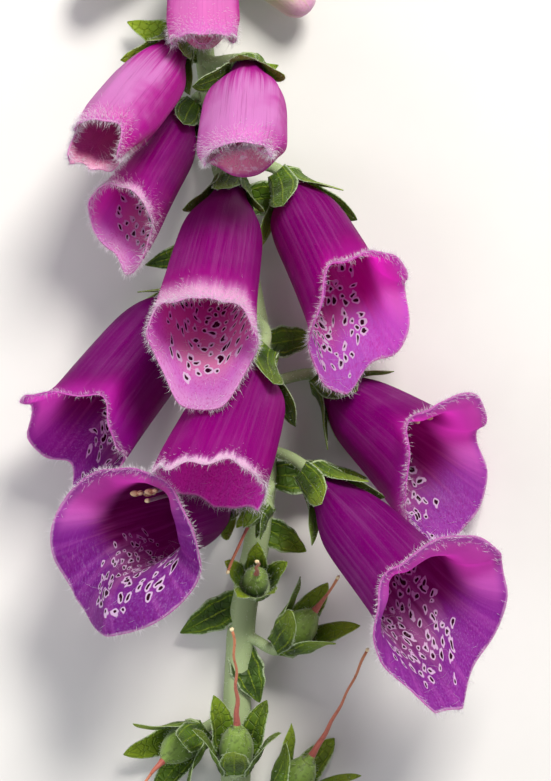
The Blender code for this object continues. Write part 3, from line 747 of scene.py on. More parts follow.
def sepals(form, width_at, length, turn, at, span, curl, clear, draw, wall=0.42, grid=(20, 13)):
    """Five ovate blades round a form, in two layers, with their tips off it.

    A blade's half angle is widest at a third of its height and comes to a drawn-out point. Its
    middle surface stands off the form by clear, more at every second blade, plus curl times a
    power of the share of its height. Its edges turn out a little and its rib is a shallow groove.
    Span is the length over which the form's axis nods, and wall is a blade's thickness.
    """
    t = np.linspace(0, 1, grid[0])[:, None]
    s = np.linspace(-1, 1, grid[1])[None]
    grids = []
    for k in range(SEPALS):
        lean, size = draw.normal(0, 0.03), draw.uniform(0.93, 1.05)

        # The angle that it stands at, half the angle that it wraps round, and its height
        half = 0.74 * (0.86 + 0.14 * np.sin(pi * np.clip(t / 0.6, 0, 1)))
        half = np.maximum(half * np.clip(1 - t**2.3, 0, 1) ** 0.85, 0.012)
        phi = pi + 2 * pi / SEPALS * k + lean * t + half * s
        height = length * size * (t - 0.08 * (1 - t) * s**2) - 0.5

        # How far it stands off: its layer, its curl, its turned edges and rib, and a small wave
        layer = (0.0, 0.42, 0.1, 0.38, 0.18)[k]
        rise = smooth(np.maximum(height, 0) / 4)
        off = clear * (0.62 + 0.3 * rise) + layer * (1 - 0.5 * t)
        off = off + curl * (1.25 + draw.normal(0, 0.2)) * t**2.6
        off = off + 0.35 * t * s**2 * (1 - t) - 0.14 * np.exp(-((s / 0.12) ** 2)) * (1 - t)
        off = off + 0.12 * np.sin(5 * pi * t + 2 * k + 2.2 * s) * s**2

        phi, off = np.broadcast_to(phi, height.shape), np.broadcast_to(off, height.shape)
        reach = width_at(phi.ravel(), np.maximum(height, 0).ravel()).reshape(height.shape) + off
        points = put(turn, at, bent(reach, phi, height, span))
        thick = wall * (0.25 + 0.75 * (1 - s**4)) * (1 - 0.5 * t)
        form.slab(points, thick, LEAF, leaf=(s, t, draw.random()))
        grids.append(points)
    return grids


def rounded(end, count):
    """Radii of a ball cut off at end to each side of its middle: half circles' heights."""
    return np.sqrt(np.clip(1 - np.linspace(-end, end, count) ** 2, 0, 1))


def part_values(size=0):
    """Point values for a small round part: its share along, the angle round it, and its size."""
    return {"part": lambda share, angle: (share, angle, size)}


def leaf_values(kind):
    """Point values for a stalk: no edge, its share along, and what kind of green it is."""
    return {"leaf": lambda share, angle: (np.sin(angle) * 0.3, share * 0.3, kind)}


def stalk(form, leaves, turn, at, radius, disc):
    """A flower's stalk, from inside the stem to the boss behind the flower."""
    middle, thick = stem_at(leaves)
    way, stations = turn[:, 2], 20
    out = unit((np.asarray(at) - middle) * (1, 0.25, 1))
    line = arc(middle + out * (thick - 0.5), out, at - way * BOSS, way, stations)
    line = np.vstack([line, *(at - way * step for step in (1.7, 1.0, 0.4, 0.0))])
    t = np.linspace(0, 1, stations)
    radii = radius * (1 + 0.5 * np.exp(-((t / 0.09) ** 2)) + 0.12 * smooth((t - 0.7) / 0.3))
    radii = np.concatenate([radii, disc * np.array([0.62, 0.86, 0.97, 0.8])])
    form.tube(line, radii, 14, STEM, leaf_values(0.5))
    return line, radii


def scattered(grids, count, draw):
    """Roots and ways of hairs sown on grids of points, a share along the two long sides."""
    edge = 0.35  # that share
    last = 1.001  # keeps a place inside a grid's last cell
    roots, ways = [], []
    for grid in grids:
        rows, columns = grid.shape[:2]
        number = max(1, count // len(grids))
        row = draw.uniform(0, rows - last, number)
        column = draw.uniform(0, columns - last, number)
        on_edge = draw.random(number) < edge
        column = np.where(on_edge, np.where(draw.random(number) < 0.5, 0, columns - last), column)
        r, c = row.astype(int), column.astype(int)
        t, s = (row - r)[:, None], (column - c)[:, None]
        corners = ((1 - t) * (1 - s), (1 - t) * s, t * (1 - s), t * s)
        cells = ((r, c), (r, c + 1), (r + 1, c), (r + 1, c + 1))
        normal, sideways = normals_of(grid), unit(np.gradient(grid, axis=1))
        place = sum(w * grid[cell] for w, cell in zip(corners, cells))
        aside = np.where(column < 0.01, -1, 1)[:, None] * sideways[r, c]
        way = normal[r, c] * np.where(draw.random(number) < 0.5, -1, 1)[:, None]
        roots.append(place)
        ways.append(np.where(on_edge[:, None], aside + way * 0.4, way))
    return np.vstack(roots), np.vstack(ways)


def round_hairs(form, path, radii, count, length, radius, draw):
    """Hairs that stand off a stalk, pod or stem, sown by length along its path."""
    across, up = frames_along(path)
    steps = np.concatenate([[0], np.cumsum(np.linalg.norm(np.diff(path, axis=0), axis=1))])
    place = np.interp(draw.uniform(0, steps[-1], count), steps, np.arange(len(path)))
    theta = draw.uniform(0, 2 * pi, count)

    def at(grid):
        """A grid's values at the hairs' places."""
        low = np.minimum(place.astype(int), len(path) - 2)
        t = (place - low)[:, None]
        return grid[low] * (1 - t) + grid[low + 1] * t

    way = at(across) * np.cos(theta)[:, None] + at(up) * np.sin(theta)[:, None]
    roots = at(path) + way * at(np.reshape(radii, (-1, 1)))
    size = length * draw.uniform(0.4, 1, count)
    ways = way + draw.normal(size=(count, 3)) * 0.25
    strands(form, roots, ways, size, radius, draw, slot=DOWN)


def down(form, stalks, grids, counts, greens, draw):
    """Add short pale hairs: the first count shared among stalks, the second among blades."""
    length, radius = greens.down / MM, greens.down_width / MM / 2
    for line, radii in stalks:
        round_hairs(form, line, radii, counts[0] // len(stalks), length, radius, draw)
    roots, ways = scattered(grids, counts[1], draw)
    size = length * draw.uniform(0.4, 1, len(roots))
    ways = ways + draw.normal(size=ways.shape) * 0.3
    strands(form, roots, ways, size, radius, draw, slot=DOWN)


def calyx_form(bloom, greens):
    """The stalk, the boss and the five sepals of an open flower, with their down."""
    wall, form, at = Wall(bloom), Form(), np.array(bloom.at)
    draw = np.random.default_rng(CALYX_SEED + bloom.number)
    line = stalk(form, bloom.leaves, wall.turn, at, STALK, DISC)
    size, curl = SEPAL * bloom.sepal, bloom.curl * 1.4
    grids = sepals(form, wall.width_at, size, wall.turn, at, bloom.length, curl, 1.15, draw)
    down(form, [line], grids, (150, 320), greens, draw)
    return form


def stamens_form(bloom):
    """Two long and two short filaments under the back of the bell, each with two pollen sacs.

    A filament is a tapering tube on a smooth line through five stations, which nears the wall
    above as it rises. A sac is a flattened ball on a short line aslant from the filament's end.
    """
    wall, form = Wall(bloom), Form()
    low, stations, rings = min(8.0, bloom.length * 0.26), 22, 11
    for across, share in ((-0.66, 0.56), (0.66, 0.56), (-0.34, 0.72), (0.34, 0.72)):
        top = bloom.length * share
        heights = np.array([low - 2.5, low, low + (top - low) * 0.45, top - 1.6, top - 0.4])
        phi = pi + across * np.array([0.1, 0.15, 0.9, 1, 1])
        inner = wall.width_at(phi, heights) - np.array([0.3, 1.3, 1.7, 2.3, 2.3])
        line = bent(inner, phi, heights + GAP, bloom.length)
        line = through(put(wall.turn, bloom.at, line), stations)
        form.tube(line, np.linspace(0.36, 0.22, stations), 8, 0, part_values())
        along = unit(line[-1] - line[-3])
        aside = unit(np.cross(along, wall.turn[:, 1]))
        for hand in (-1, 1):
            axis = unit(along * 0.75 + aside * hand * 0.75)
            reach = np.linspace(-0.35, 1.75, rings)[:, None]
            sac = line[-1] + axis * reach + aside * hand * 0.12
            plump = 0.62 * rounded(0.98, rings)
            form.tube(sac, plump, 12, 1, part_values(), flat=0.8)
    return form


def pistil_form(bloom):
    """The ovary on its disc, and the style along the back of the bell to a two-lipped stigma.

    It is one round body on a smooth line through seven stations, which keeps 4.2 mm inside the
    wall above once it has left the ovary.
    """
    wall, form, count = Wall(bloom), Form(), 60
    ovary, reach = 8, bloom.length * 0.7
    heights = (0, 1.5, 4.5, ovary, (ovary + reach) / 2, reach - 0.7, reach + 0.3)
    heights, radii = np.array(heights), np.array([1.5, 2.0, 1.6, 0.6, 0.42, 0.4, 0.45])
    room = wall.width_at(np.full(len(heights), pi), heights) - 4.2
    back = np.clip(room, 0, None) * smooth((heights - 5) / 8)
    stations = np.column_stack([back, heights, radii])
    back, heights, radii = through(stations, count).T
    line = bent(back, np.full(count, pi), heights + GAP, bloom.length)
    line = put(wall.turn, bloom.at, line)
    form.tube(line, radii, 16, 0, part_values())
    lips(form, line[-1], unit(line[-1] - line[-3]), wall.turn[:, 0], 0.62)
    return form


def lips(form, at, along, aside, size, slot=1):
    """A stigma: two small rounded lips side by side."""
    rings = 8
    for hand in (-1, 1):
        axis = unit(along + aside * hand * 0.45)
        line = at + axis * np.linspace(-0.5, 1.3, rings)[:, None] * size
        plump = size * 0.75 * rounded(0.97, rings)
        form.tube(line, plump, 10, slot, part_values())


def pod_form(pod, greens):
    """A seed pod in its open calyx, with the thread of the style still on it.

    Pod and thread are round bodies on one line that turns evenly along its length. The pod has
    two seams, where its radius dips by a high power of a cosine.
    """
    form, draw = Form(), np.random.default_rng(POD_SEED + pod.number)
    turn, at = axes(pod.side, pod.tip, pod.roll), np.array(pod.at)
    size = 0.55 + 0.45 * pod.sepal
    line = stalk(form, pod.leaves, turn, at, STALK * size, DISC * size)
    length, radius = pod.pod

    def width_at(_, height):
        return np.interp(height, (0, length * 0.3, SEPAL * 2), (NECK * size, radius, radius))

    span, curl, clear = 40, pod.spread * 1.2, 0.95
    grids = sepals(form, width_at, SEPAL * pod.sepal, turn, at, span, curl, clear, draw)

    # Stations of the pod, then of the thread
    heights = length * np.array([0.0, 0.12, 0.34, 0.6, 0.84, 1.0])
    heights = np.concatenate([heights, length + pod.style * np.array([0.5, 1.0])])
    radii = np.concatenate([radius * np.array([0.7, 0.92, 1.0, 0.86, 0.5, 0.2]), [0.3, 0.3]])
    each = 10  # points between two stations
    heights, radii = through(np.column_stack([heights, radii]), 7 * each + 1).T

    # The line that both lie on, which turns evenly and wiggles a little along the thread
    curve = radians(pod.droop) / (length + pod.style)
    lean = curve * heights
    wiggle = 0.25 * np.sin(heights * 0.9) * smooth((heights - length) / 4)
    across, back, way = turn.T
    path = at + np.outer(np.sin(lean) / curve, way) - np.outer((1 - np.cos(lean)) / curve, back)
    path = path + np.outer(wiggle, across)

    sides, top = 20, 5 * each + 1
    seam = 1 - 0.09 * np.abs(np.cos(np.linspace(0, 2 * pi, sides, endpoint=False))) ** 10
    body, thread = path[:top], path[top - 2 :]
    form.tube(body, radii[:top, None] * seam, sides, BODY, part_values())
    form.tube(thread, np.maximum(radii[top - 2 :], 0.26), 8, THREAD, part_values())
    lips(form, path[-1], unit(path[-1] - path[-3]), across, 0.5, slot=STIGMA)
    down(form, [line, (body, radii[:top])], grids, (260, 300), greens, draw)
    return form


def bud_shape(form, turn, at, length, radius, cover, draw, fine=1.0):
    """A closed bell in its calyx: a blunt body, five ribs down it, and sepals round its foot.

    The body's radius is a smooth line through eight stations, times a cosine for the ribs.
    """
    rows, sides = int(26 * fine), int(20 * fine)
    heights = (0, 0.12, 0.34, 0.56, 0.74, 0.88, 0.97, 1)
    widths = (0.55, 0.8, 0.96, 0.95, 0.88, 0.78, 0.5, 0.12)
    t, share = through(np.column_stack([heights, widths]), rows).T
    line = at + np.outer(t, turn[:, 2]) * length
    theta = np.linspace(0, 2 * pi, sides, endpoint=False)
    ribs = 1 - 0.05 * np.cos(5 * theta) * smooth(t / 0.5)[:, None]
    form.tube(line, radius * share[:, None] * ribs, sides, BODY, part_values(length / 20))

    def width_at(_, height):
        return radius * np.interp(height / length, heights, widths)

    span, curl, clear, grid = 400, 0.09 * radius, 0.55 * fine, (16, 11) if fine == 1 else (9, 7)
    return sepals(form, width_at, length * cover, turn, at, span, curl, clear, draw, 0.36, grid)


def bud_form(bud, greens):
    """A flower that has not opened, on its stalk, nodding by its own angle from the stem."""
    form, draw = Form(), np.random.default_rng(BUD_SEED + bud.number)
    middle, thick = stem_at(bud.y)
    turn_round, nod = radians(bud.round), radians(bud.nod)
    out = np.array([sin(turn_round), 0, cos(turn_round)])
    way = out * sin(nod) + np.array([0, -cos(nod), 0])
    at = middle + out * (thick + GAP + 2.6 + bud.radius * 0.8) + np.array([0, 1.0, 0])
    side, tip = np.degrees(np.arctan2(way[0], -way[1])), np.degrees(np.arcsin(way[2]))
    turn = axes(side, tip, 0)
    line = stalk(form, bud.y, turn, at, STALK * 0.85, bud.radius * 0.66)
    grids = bud_shape(form, turn, at, bud.length, bud.radius, 0.66, draw)
    down(form, [line], grids, (110, 260), greens, draw)
    return form


def bract_grid(y, side, lift, length, half_width, droop, draw):
    """A narrow pointed leaf from the stem, arched along its length, folded at its rib and waved.

    Its rib runs out with a slope that falls evenly by droop. Its half width is a sine of the
    share of its length, and its edges stand up by 0.3 of that, with a small wave.
    """
    middle, _ = stem_at(y)
    rows, columns = BRACT_GRID
    t, s = np.linspace(0, 1, rows), np.linspace(-1, 1, columns)
    side = radians(side)
    slope = radians(lift) - radians(droop) * t
    out, across = np.array([sin(side), -cos(side), 0]), np.array([cos(side), sin(side), 0])

    # The rib, then half the width, then how far the blade stands up from the rib
    step = length / (rows - 1)
    along = np.concatenate([[0], np.cumsum(np.cos(slope[1:]) * step)])
    rise = np.concatenate([[0], np.cumsum(np.sin(slope[1:]) * step)])
    rib = middle + np.outer(along, out) + np.outer(rise, (0, 0, 1))
    notched = 1 + 0.05 * np.sin(21 * t + draw.uniform(0, 6))
    half = (half_width * np.sin(pi * (0.22 + 0.77 * t)) ** 0.9 * notched)[:, None]
    wave = 0.1 * np.sin(9 * t + draw.uniform(0, 6))[:, None] * s
    wave = wave + 0.05 * np.sin(17 * t[:, None] + 3 * s)
    lift_up = half * (0.3 * np.abs(s) ** 1.3 + wave * s**2) - 0.12 * np.exp(-((s / 0.1) ** 2))
    return rib[:, None] + (half * s)[..., None] * across + lift_up[..., None] * (0, 0, 1)


def stem_form(greens):
    """The stem, ribbed and a little swollen where a stalk leaves, its bracts and the tip's buds.

    Its radius is the line's own, times cosines round it for the ribs and a bell curve along it
    for each knot. The tip's buds stand round it in a spiral, each the golden angle from the last.
    """
    form, draw, sides = Form(), np.random.default_rng(STEM_SEED), 28
    low, high = STEM_LINE[0][1], STEM_LINE[-1][1]
    y = np.linspace(low, high, 260)
    stations = [stem_at(value) for value in y]
    line, thick = np.array([s[0] for s in stations]), np.array([s[1] for s in stations])
    theta = np.linspace(0, 2 * pi, sides, endpoint=False)

    # Knots where stalks leave, and ribs that turn slowly round it
    leaves = np.array([flower.leaves for flower in (*BLOOMS, *PODS)] + [bud.y for bud in BUDS])
    knots = np.exp(-(((y[:, None] - leaves) / 1.6) ** 2)).sum(1)
    ribs = 1 + 0.03 * np.cos(5 * theta + 0.6) + 0.015 * np.cos(8 * theta + y[:, None] / 30)
    radii = thick[:, None] * ribs * (1 + 0.05 * np.clip(knots, 0, 1.5))[:, None]
    form.tube(line, radii, sides, STEM, leaf_values(0.8))

    # The cut face at its foot, a little rounded
    cut = line[0] - np.array([0, 1, 0]) * np.linspace(-0.02, 0.08, 6)[:, None]
    face = thick[0] * np.array([0.97, 0.98, 0.96, 0.7, 0.4, 0.1])
    form.tube(cut, face, sides, CUT, leaf_values(0))

    grids = [bract_grid(*row, draw) for row in BRACTS]
    t = np.linspace(0, 1, BRACT_GRID[0])[:, None]
    s = np.linspace(-1, 1, BRACT_GRID[1])[None]
    wall = 0.42 * (0.3 + 0.7 * (1 - s**4)) * (1 - 0.4 * t)
    for grid in grids:
        form.slab(grid, wall, LEAF, leaf=(s, t, draw.random()))

    # The buds that crowd the tip
    for k in range(TIP_BUDS):
        share = k / (TIP_BUDS - 1)
        y_bud = high - 9 + 11 * share
        middle, _ = stem_at(min(y_bud, high))
        middle[1] = y_bud
        size, angle = 2.0 - 0.7 * share, radians(GOLDEN * k)
        out = np.array([sin(angle), 0, cos(angle) * 0.7 + 0.25])
        at = middle + out * 2.3 * (1 - share * 0.8)
        way = Vector((sin(angle) * 0.8, 0.9 + share, cos(angle) * 0.8)).normalized()
        turn = np.array(way.to_track_quat("Z", "X").to_matrix())
        at = at - turn[:, 2] * 1.6 * size
        grids += bud_shape(form, turn, at, 3.2 * size, 0.62 * size, 0.86, draw, fine=0.6)
    down(form, [(line, thick)], grids, (2400, 1500), greens, draw)
    return form


# --- finishes -------------------------------------------------------------------------------


def linear(red, green, blue):
    """A colour given from 0 to 255, as light."""
    share = np.array([red, green, blue]) / 255
    return tuple(np.where(share < 0.04045, share / 12.92, ((share + 0.055) / 1.055) ** 2.4))


class Recipe:
    """A material's nodes, each added from what it is fed. Its colour is what is laid on so far."""

    def __init__(self, name):
        self.material = bpy.data.materials.new(name)
        self.material.use_nodes = True
        self.tree = self.material.node_tree
        self.tree.nodes.clear()
        self.colour = None

    def feed(self, socket, value):
        """Link a socket to another node's output, or set its number or colour."""
        if isinstance(value, bpy.types.NodeSocket):
            self.tree.links.new(value, socket)
        elif value is not None:
            size = getattr(socket.default_value, "__len__", lambda: 0)()
            socket.default_value = (*value, 1) if size == 4 and len(value) == 3 else value

    def add(self, kind, feeds, out=0, **settings):
        """Add a node with its settings, feed its sockets by name or number, and give an output."""
        node = self.tree.nodes.new("ShaderNode" + kind)
        for key, value in settings.items():
            setattr(node, key, value)
        for key, value in feeds.items():
            self.feed(node.inputs[key], value)
        return node.outputs[out] if node.outputs else None

    def parts(self, vector):
        """The three numbers of a vector."""
        return self.add("SeparateXYZ", {0: vector}).node.outputs

    def values(self, name):
        """The three numbers that the mesh holds at each point under a name."""
        return self.parts(self.add("Attribute", {}, out="Vector", attribute_name=name))

    def sum(self, operation, a, b=None, c=None):
        """One step of arithmetic on up to three numbers."""
        return self.add("Math", {0: a, 1: b, 2: c}, operation=operation)

    def times(self, *values):
        """All the values multiplied."""
        total = values[0]
        for value in values[1:]:
            total = self.sum("MULTIPLY", total, value)
        return total

    def span(self, value, low, high, start=0.0, end=1.0):
        """Start where value is low and end where it is high, with a smooth step between."""
        feeds = {"Value": value, "From Min": low, "From Max": high, "To Min": start, "To Max": end}
        return self.add("MapRange", feeds, interpolation_type="SMOOTHSTEP")

    def uneven(self, value, noise, most):
        """A value moved up or down by a noise, by up to most."""
        return self.sum("ADD", value, self.span(noise, 0.3, 0.7, -most, most))

    def vector(self, x, y, z=0.0):
        """Three numbers as a vector."""
        return self.add("CombineXYZ", {0: x, 1: y, 2: z})

    def noise(self, vector, scale, detail, rough=0.5, out=0):
        """Soft noise over a vector, scale to a unit of it."""
        feeds = {"Vector": vector, "Scale": scale, "Detail": detail, "Roughness": rough}
        return self.add("TexNoise", feeds, out=out)

    def space(self, stretch=(1, 1, 1)):
        """The piece's own coordinates in metres, times stretch."""
        place = self.add("TexCoord", {}, out="Object")
        return self.add("Mapping", {"Vector": place, "Scale": stretch})

    def clouds(self, scale, detail, rough=0.5, stretch=(1, 1, 1)):
        """Noise through the piece's own space, scale to the metre."""
        return self.noise(self.space(stretch), scale, detail, rough)

    def drawn_out(self, turned, cosine, share, fine, long, detail):
        """Streaks along a bell: noise that is fine round it and long on the share of its length."""
        round_it = self.times(turned, fine), self.times(cosine, fine)
        return self.noise(self.vector(*round_it, self.times(share, long)), 1.0, detail)

    def mix(self, share, a, b):
        """Colour a, with a share of colour b."""
        return self.add("Mix", {0: share, 6: a, 7: b}, out=2, data_type="RGBA")

    def paint(self, share, colour):
        """Lay a share of a colour over what is there."""
        self.colour = self.mix(share, self.colour, colour)

    def bump(self, height, distance, strength=1.0, normal=None):
        """A relief of height times distance in metres, on top of another relief."""
        feeds = {"Height": height, "Distance": distance, "Strength": strength, "Normal": normal}
        return self.add("Bump", feeds)

    def finish(self, normal=None, glow=None, glow_share=0.0, **shader):
        """The surface: a principled shader, and a share of light let through in the glow colour."""
        feeds = {key.replace("_", " "): value for key, value in shader.items()}
        feeds |= {"Base Color": self.colour, "Normal": normal}
        surface = self.add("BsdfPrincipled", feeds)
        if glow is not None:
            through = self.add("BsdfTranslucent", {"Color": glow, "Normal": normal})
            surface = self.add("MixShader", {0: glow_share, 1: surface, 2: through})
        self.add("OutputMaterial", {"Surface": surface})
        return self.material


def outside_look(bells):
    """The outside of a bell: a magenta tube with a pale band by its rim. On young bells
    its upper side is painted pale pink, partly for their own paler tone and partly as a
    painted highlight of the light that falls on that side.

    Fine streaks run along it, from noise on the angle round and a little of the length. The lip
    that is folded over the mouth of a young bell is a dusty rose with cream flecks.
    """
    look = Recipe("petal_outside")
    sine, cosine, share = look.values("way")
    from_rim = look.values("place")[2]
    young, number, margin = look.values("kind")
    flared = look.values("shape")[0]
    turned = look.sum("ADD", sine, look.times(number, 3.7))
    streaks = look.drawn_out(turned, cosine, share, 12.0, 1.6, 3)
    veins = look.drawn_out(turned, cosine, share, 30.0, 2.5, 2)
    patches, grain = look.clouds(130.0, 3), look.clouds(2600.0, 2, 0.7)
    new = look.span(young, 0.76, 0.9)

    look.colour = look.mix(new, bells.tube, bells.tube_young)
    look.colour = look.mix(look.span(share, 0.0, 0.16), bells.foot, look.colour)
    # Painted light: the upper side of a young bell, which faces the lamps, is painted pale pink,
    # partly for its own paler tone and partly as a painted highlight
    fresh = look.times(
        new,
        look.span(look.uneven(cosine, patches, 0.3), 0.2, -0.8),
        look.span(look.uneven(share, streaks, 0.12), 0.18, 0.55),
        0.85,
    )
    look.paint(fresh, bells.streak)
    light = look.span(streaks, 0.42, 0.72, 0.0, 0.08), look.span(patches, 0.45, 0.8, 0.0, 0.05)
    look.paint(look.sum("ADD", *light), bells.streak)
    look.paint(look.span(veins, 0.55, 0.72, 0.0, 0.3), bells.vein)
    look.paint(look.span(grain, 0.56, 0.75, 0.0, 0.07), bells.streak)

    # The lip folded over a young bell's mouth
    near = look.span(look.uneven(from_rim, patches, 2.0), 11.0, 4.5)
    fold = look.times(look.span(young, 0.7, 0.95), look.span(cosine, 0.0, 0.8), near)
    look.paint(look.times(fold, 0.9), bells.fold)
    flecks = look.span(look.clouds(900.0, 2, 0.6), 0.54, 0.62)
    look.paint(look.times(fold, flecks, 0.7), bells.margin)

    # The band above the mouth, ragged along its inner side, and a thin pale edge all round
    ragged = look.uneven(from_rim, streaks, 0.6)
    over = look.sum("DIVIDE", ragged, look.sum("MAXIMUM", margin, 0.2))
    above, wide = look.span(cosine, 0.45, 0.0), look.span(margin, 0.3, 1.5)
    band = look.times(look.span(over, 1.35, 0.35), above, wide, 0.95)
    pale = look.mix(look.span(over, 0.35, 1.0, 0.0, 0.8), bells.margin, bells.streak)
    look.paint(look.sum("MAXIMUM", band, look.span(from_rim, 0.5, 0.05, 0.0, 0.45)), pale)

    # Light let through, most at a rim that is spread open
    depth = look.sum("ADD", from_rim, look.span(cosine, -1.0, 1.0, 0.0, 3.0))
    rimward = look.times(look.span(depth, 13.0, 5.0, 0.0, 0.9), flared)
    through = look.mix(look.span(young, 0.7, 0.9, 0.35, 0.1), bells.through, look.colour)
    return look.finish(
        look.bump(grain, 0.00012, 0.3, look.bump(veins, 0.0002, 0.4)),
        glow=look.mix(rimward, through, bells.glow),
        glow_share=look.sum("MULTIPLY_ADD", rimward, 0.36, 0.44),
        Roughness=look.span(grain, 0.3, 0.8, 0.36, 0.5),
        Sheen_Weight=0.03,
        Sheen_Roughness=0.3,
        Sheen_Tint=linear(255, 120, 245),
        Specular_IOR_Level=0.07,
    )


def spotted_width(look, along):
    """Half the width of the patch that the spots stand in, along millimetres from the lip."""
    return look.span(along, 0.0, 10.0, 4.0, 11.0)


def spots_of(look, arc, from_lip, number, opened, width):
    """Core and ring of the spots on the floor of a bell: one to a cell, drawn out along the bell.

    The spots are the middles of uneven cells laid in millimetres across the floor and from the
    lip. A cell has a spot where its own random number is under the density at its middle.
    """
    cell, drawn, warped, aside = 1.95, 0.72, 2.4, 0.6
    warp = look.noise(look.vector(arc, from_lip, number), 0.35, 1, 0.5, out="Color")
    place = look.vector(arc, look.times(from_lip, drawn))
    feeds = {0: warp, 1: (warped, warped, 0.0), 2: place}
    moved = look.add("VectorMath", feeds, operation="MULTIPLY_ADD")
    offset = look.vector(look.times(number, 31.0), look.times(number, 17.0))
    moved = look.add("VectorMath", {0: moved, 1: offset}, operation="ADD")
    feeds = {"Vector": moved, "Scale": 1 / cell, "Randomness": 0.7}
    spots = look.add("TexVoronoi", feeds, voronoi_dimensions="2D").node.outputs
    chance, size, _ = look.parts(spots["Color"])

    # The middle of the cell, back in millimetres across and from the lip
    middle = look.add("VectorMath", {0: spots["Position"], 1: offset}, operation="SUBTRACT")
    x, y, _ = look.parts(middle)
    x = look.sum("SUBTRACT", x, warped / 2)
    y = look.sum("DIVIDE", look.sum("SUBTRACT", y, warped / 2), drawn)
    across = look.sum("ABSOLUTE", look.sum("SUBTRACT", x, aside))
    inside = look.span(look.sum("SUBTRACT", across, spotted_width(look, y)), 1.0, -1.0)
    deep, low = look.span(y, 33.0, 27.0), look.span(y, 2.5, 4.5)
    dense = look.times(inside, deep, low, look.span(y, 4.0, 10.0, 0.5, 0.95), *opened)
    has = look.sum("LESS_THAN", chance, dense)

    # How far a point is past the spot's edge, which is a little ragged
    apart = look.times(spots["Distance"], cell)
    ragged = look.noise(look.vector(arc, look.times(from_lip, 0.8), number), 1.3, 1, 0.5)
    apart = look.sum("ADD", apart, look.span(ragged, 0.25, 0.75, -0.1, 0.1))
    beyond = look.sum("SUBTRACT", apart, look.sum("MULTIPLY_ADD", size, 0.2, width / 2 - 0.12))
    ring = look.times(has, look.span(beyond, 0.42, 0.28), look.span(y, 34.0, 18.0, 0.55, 0.95))
    return look.times(has, look.span(beyond, 0.07, -0.03)), ring


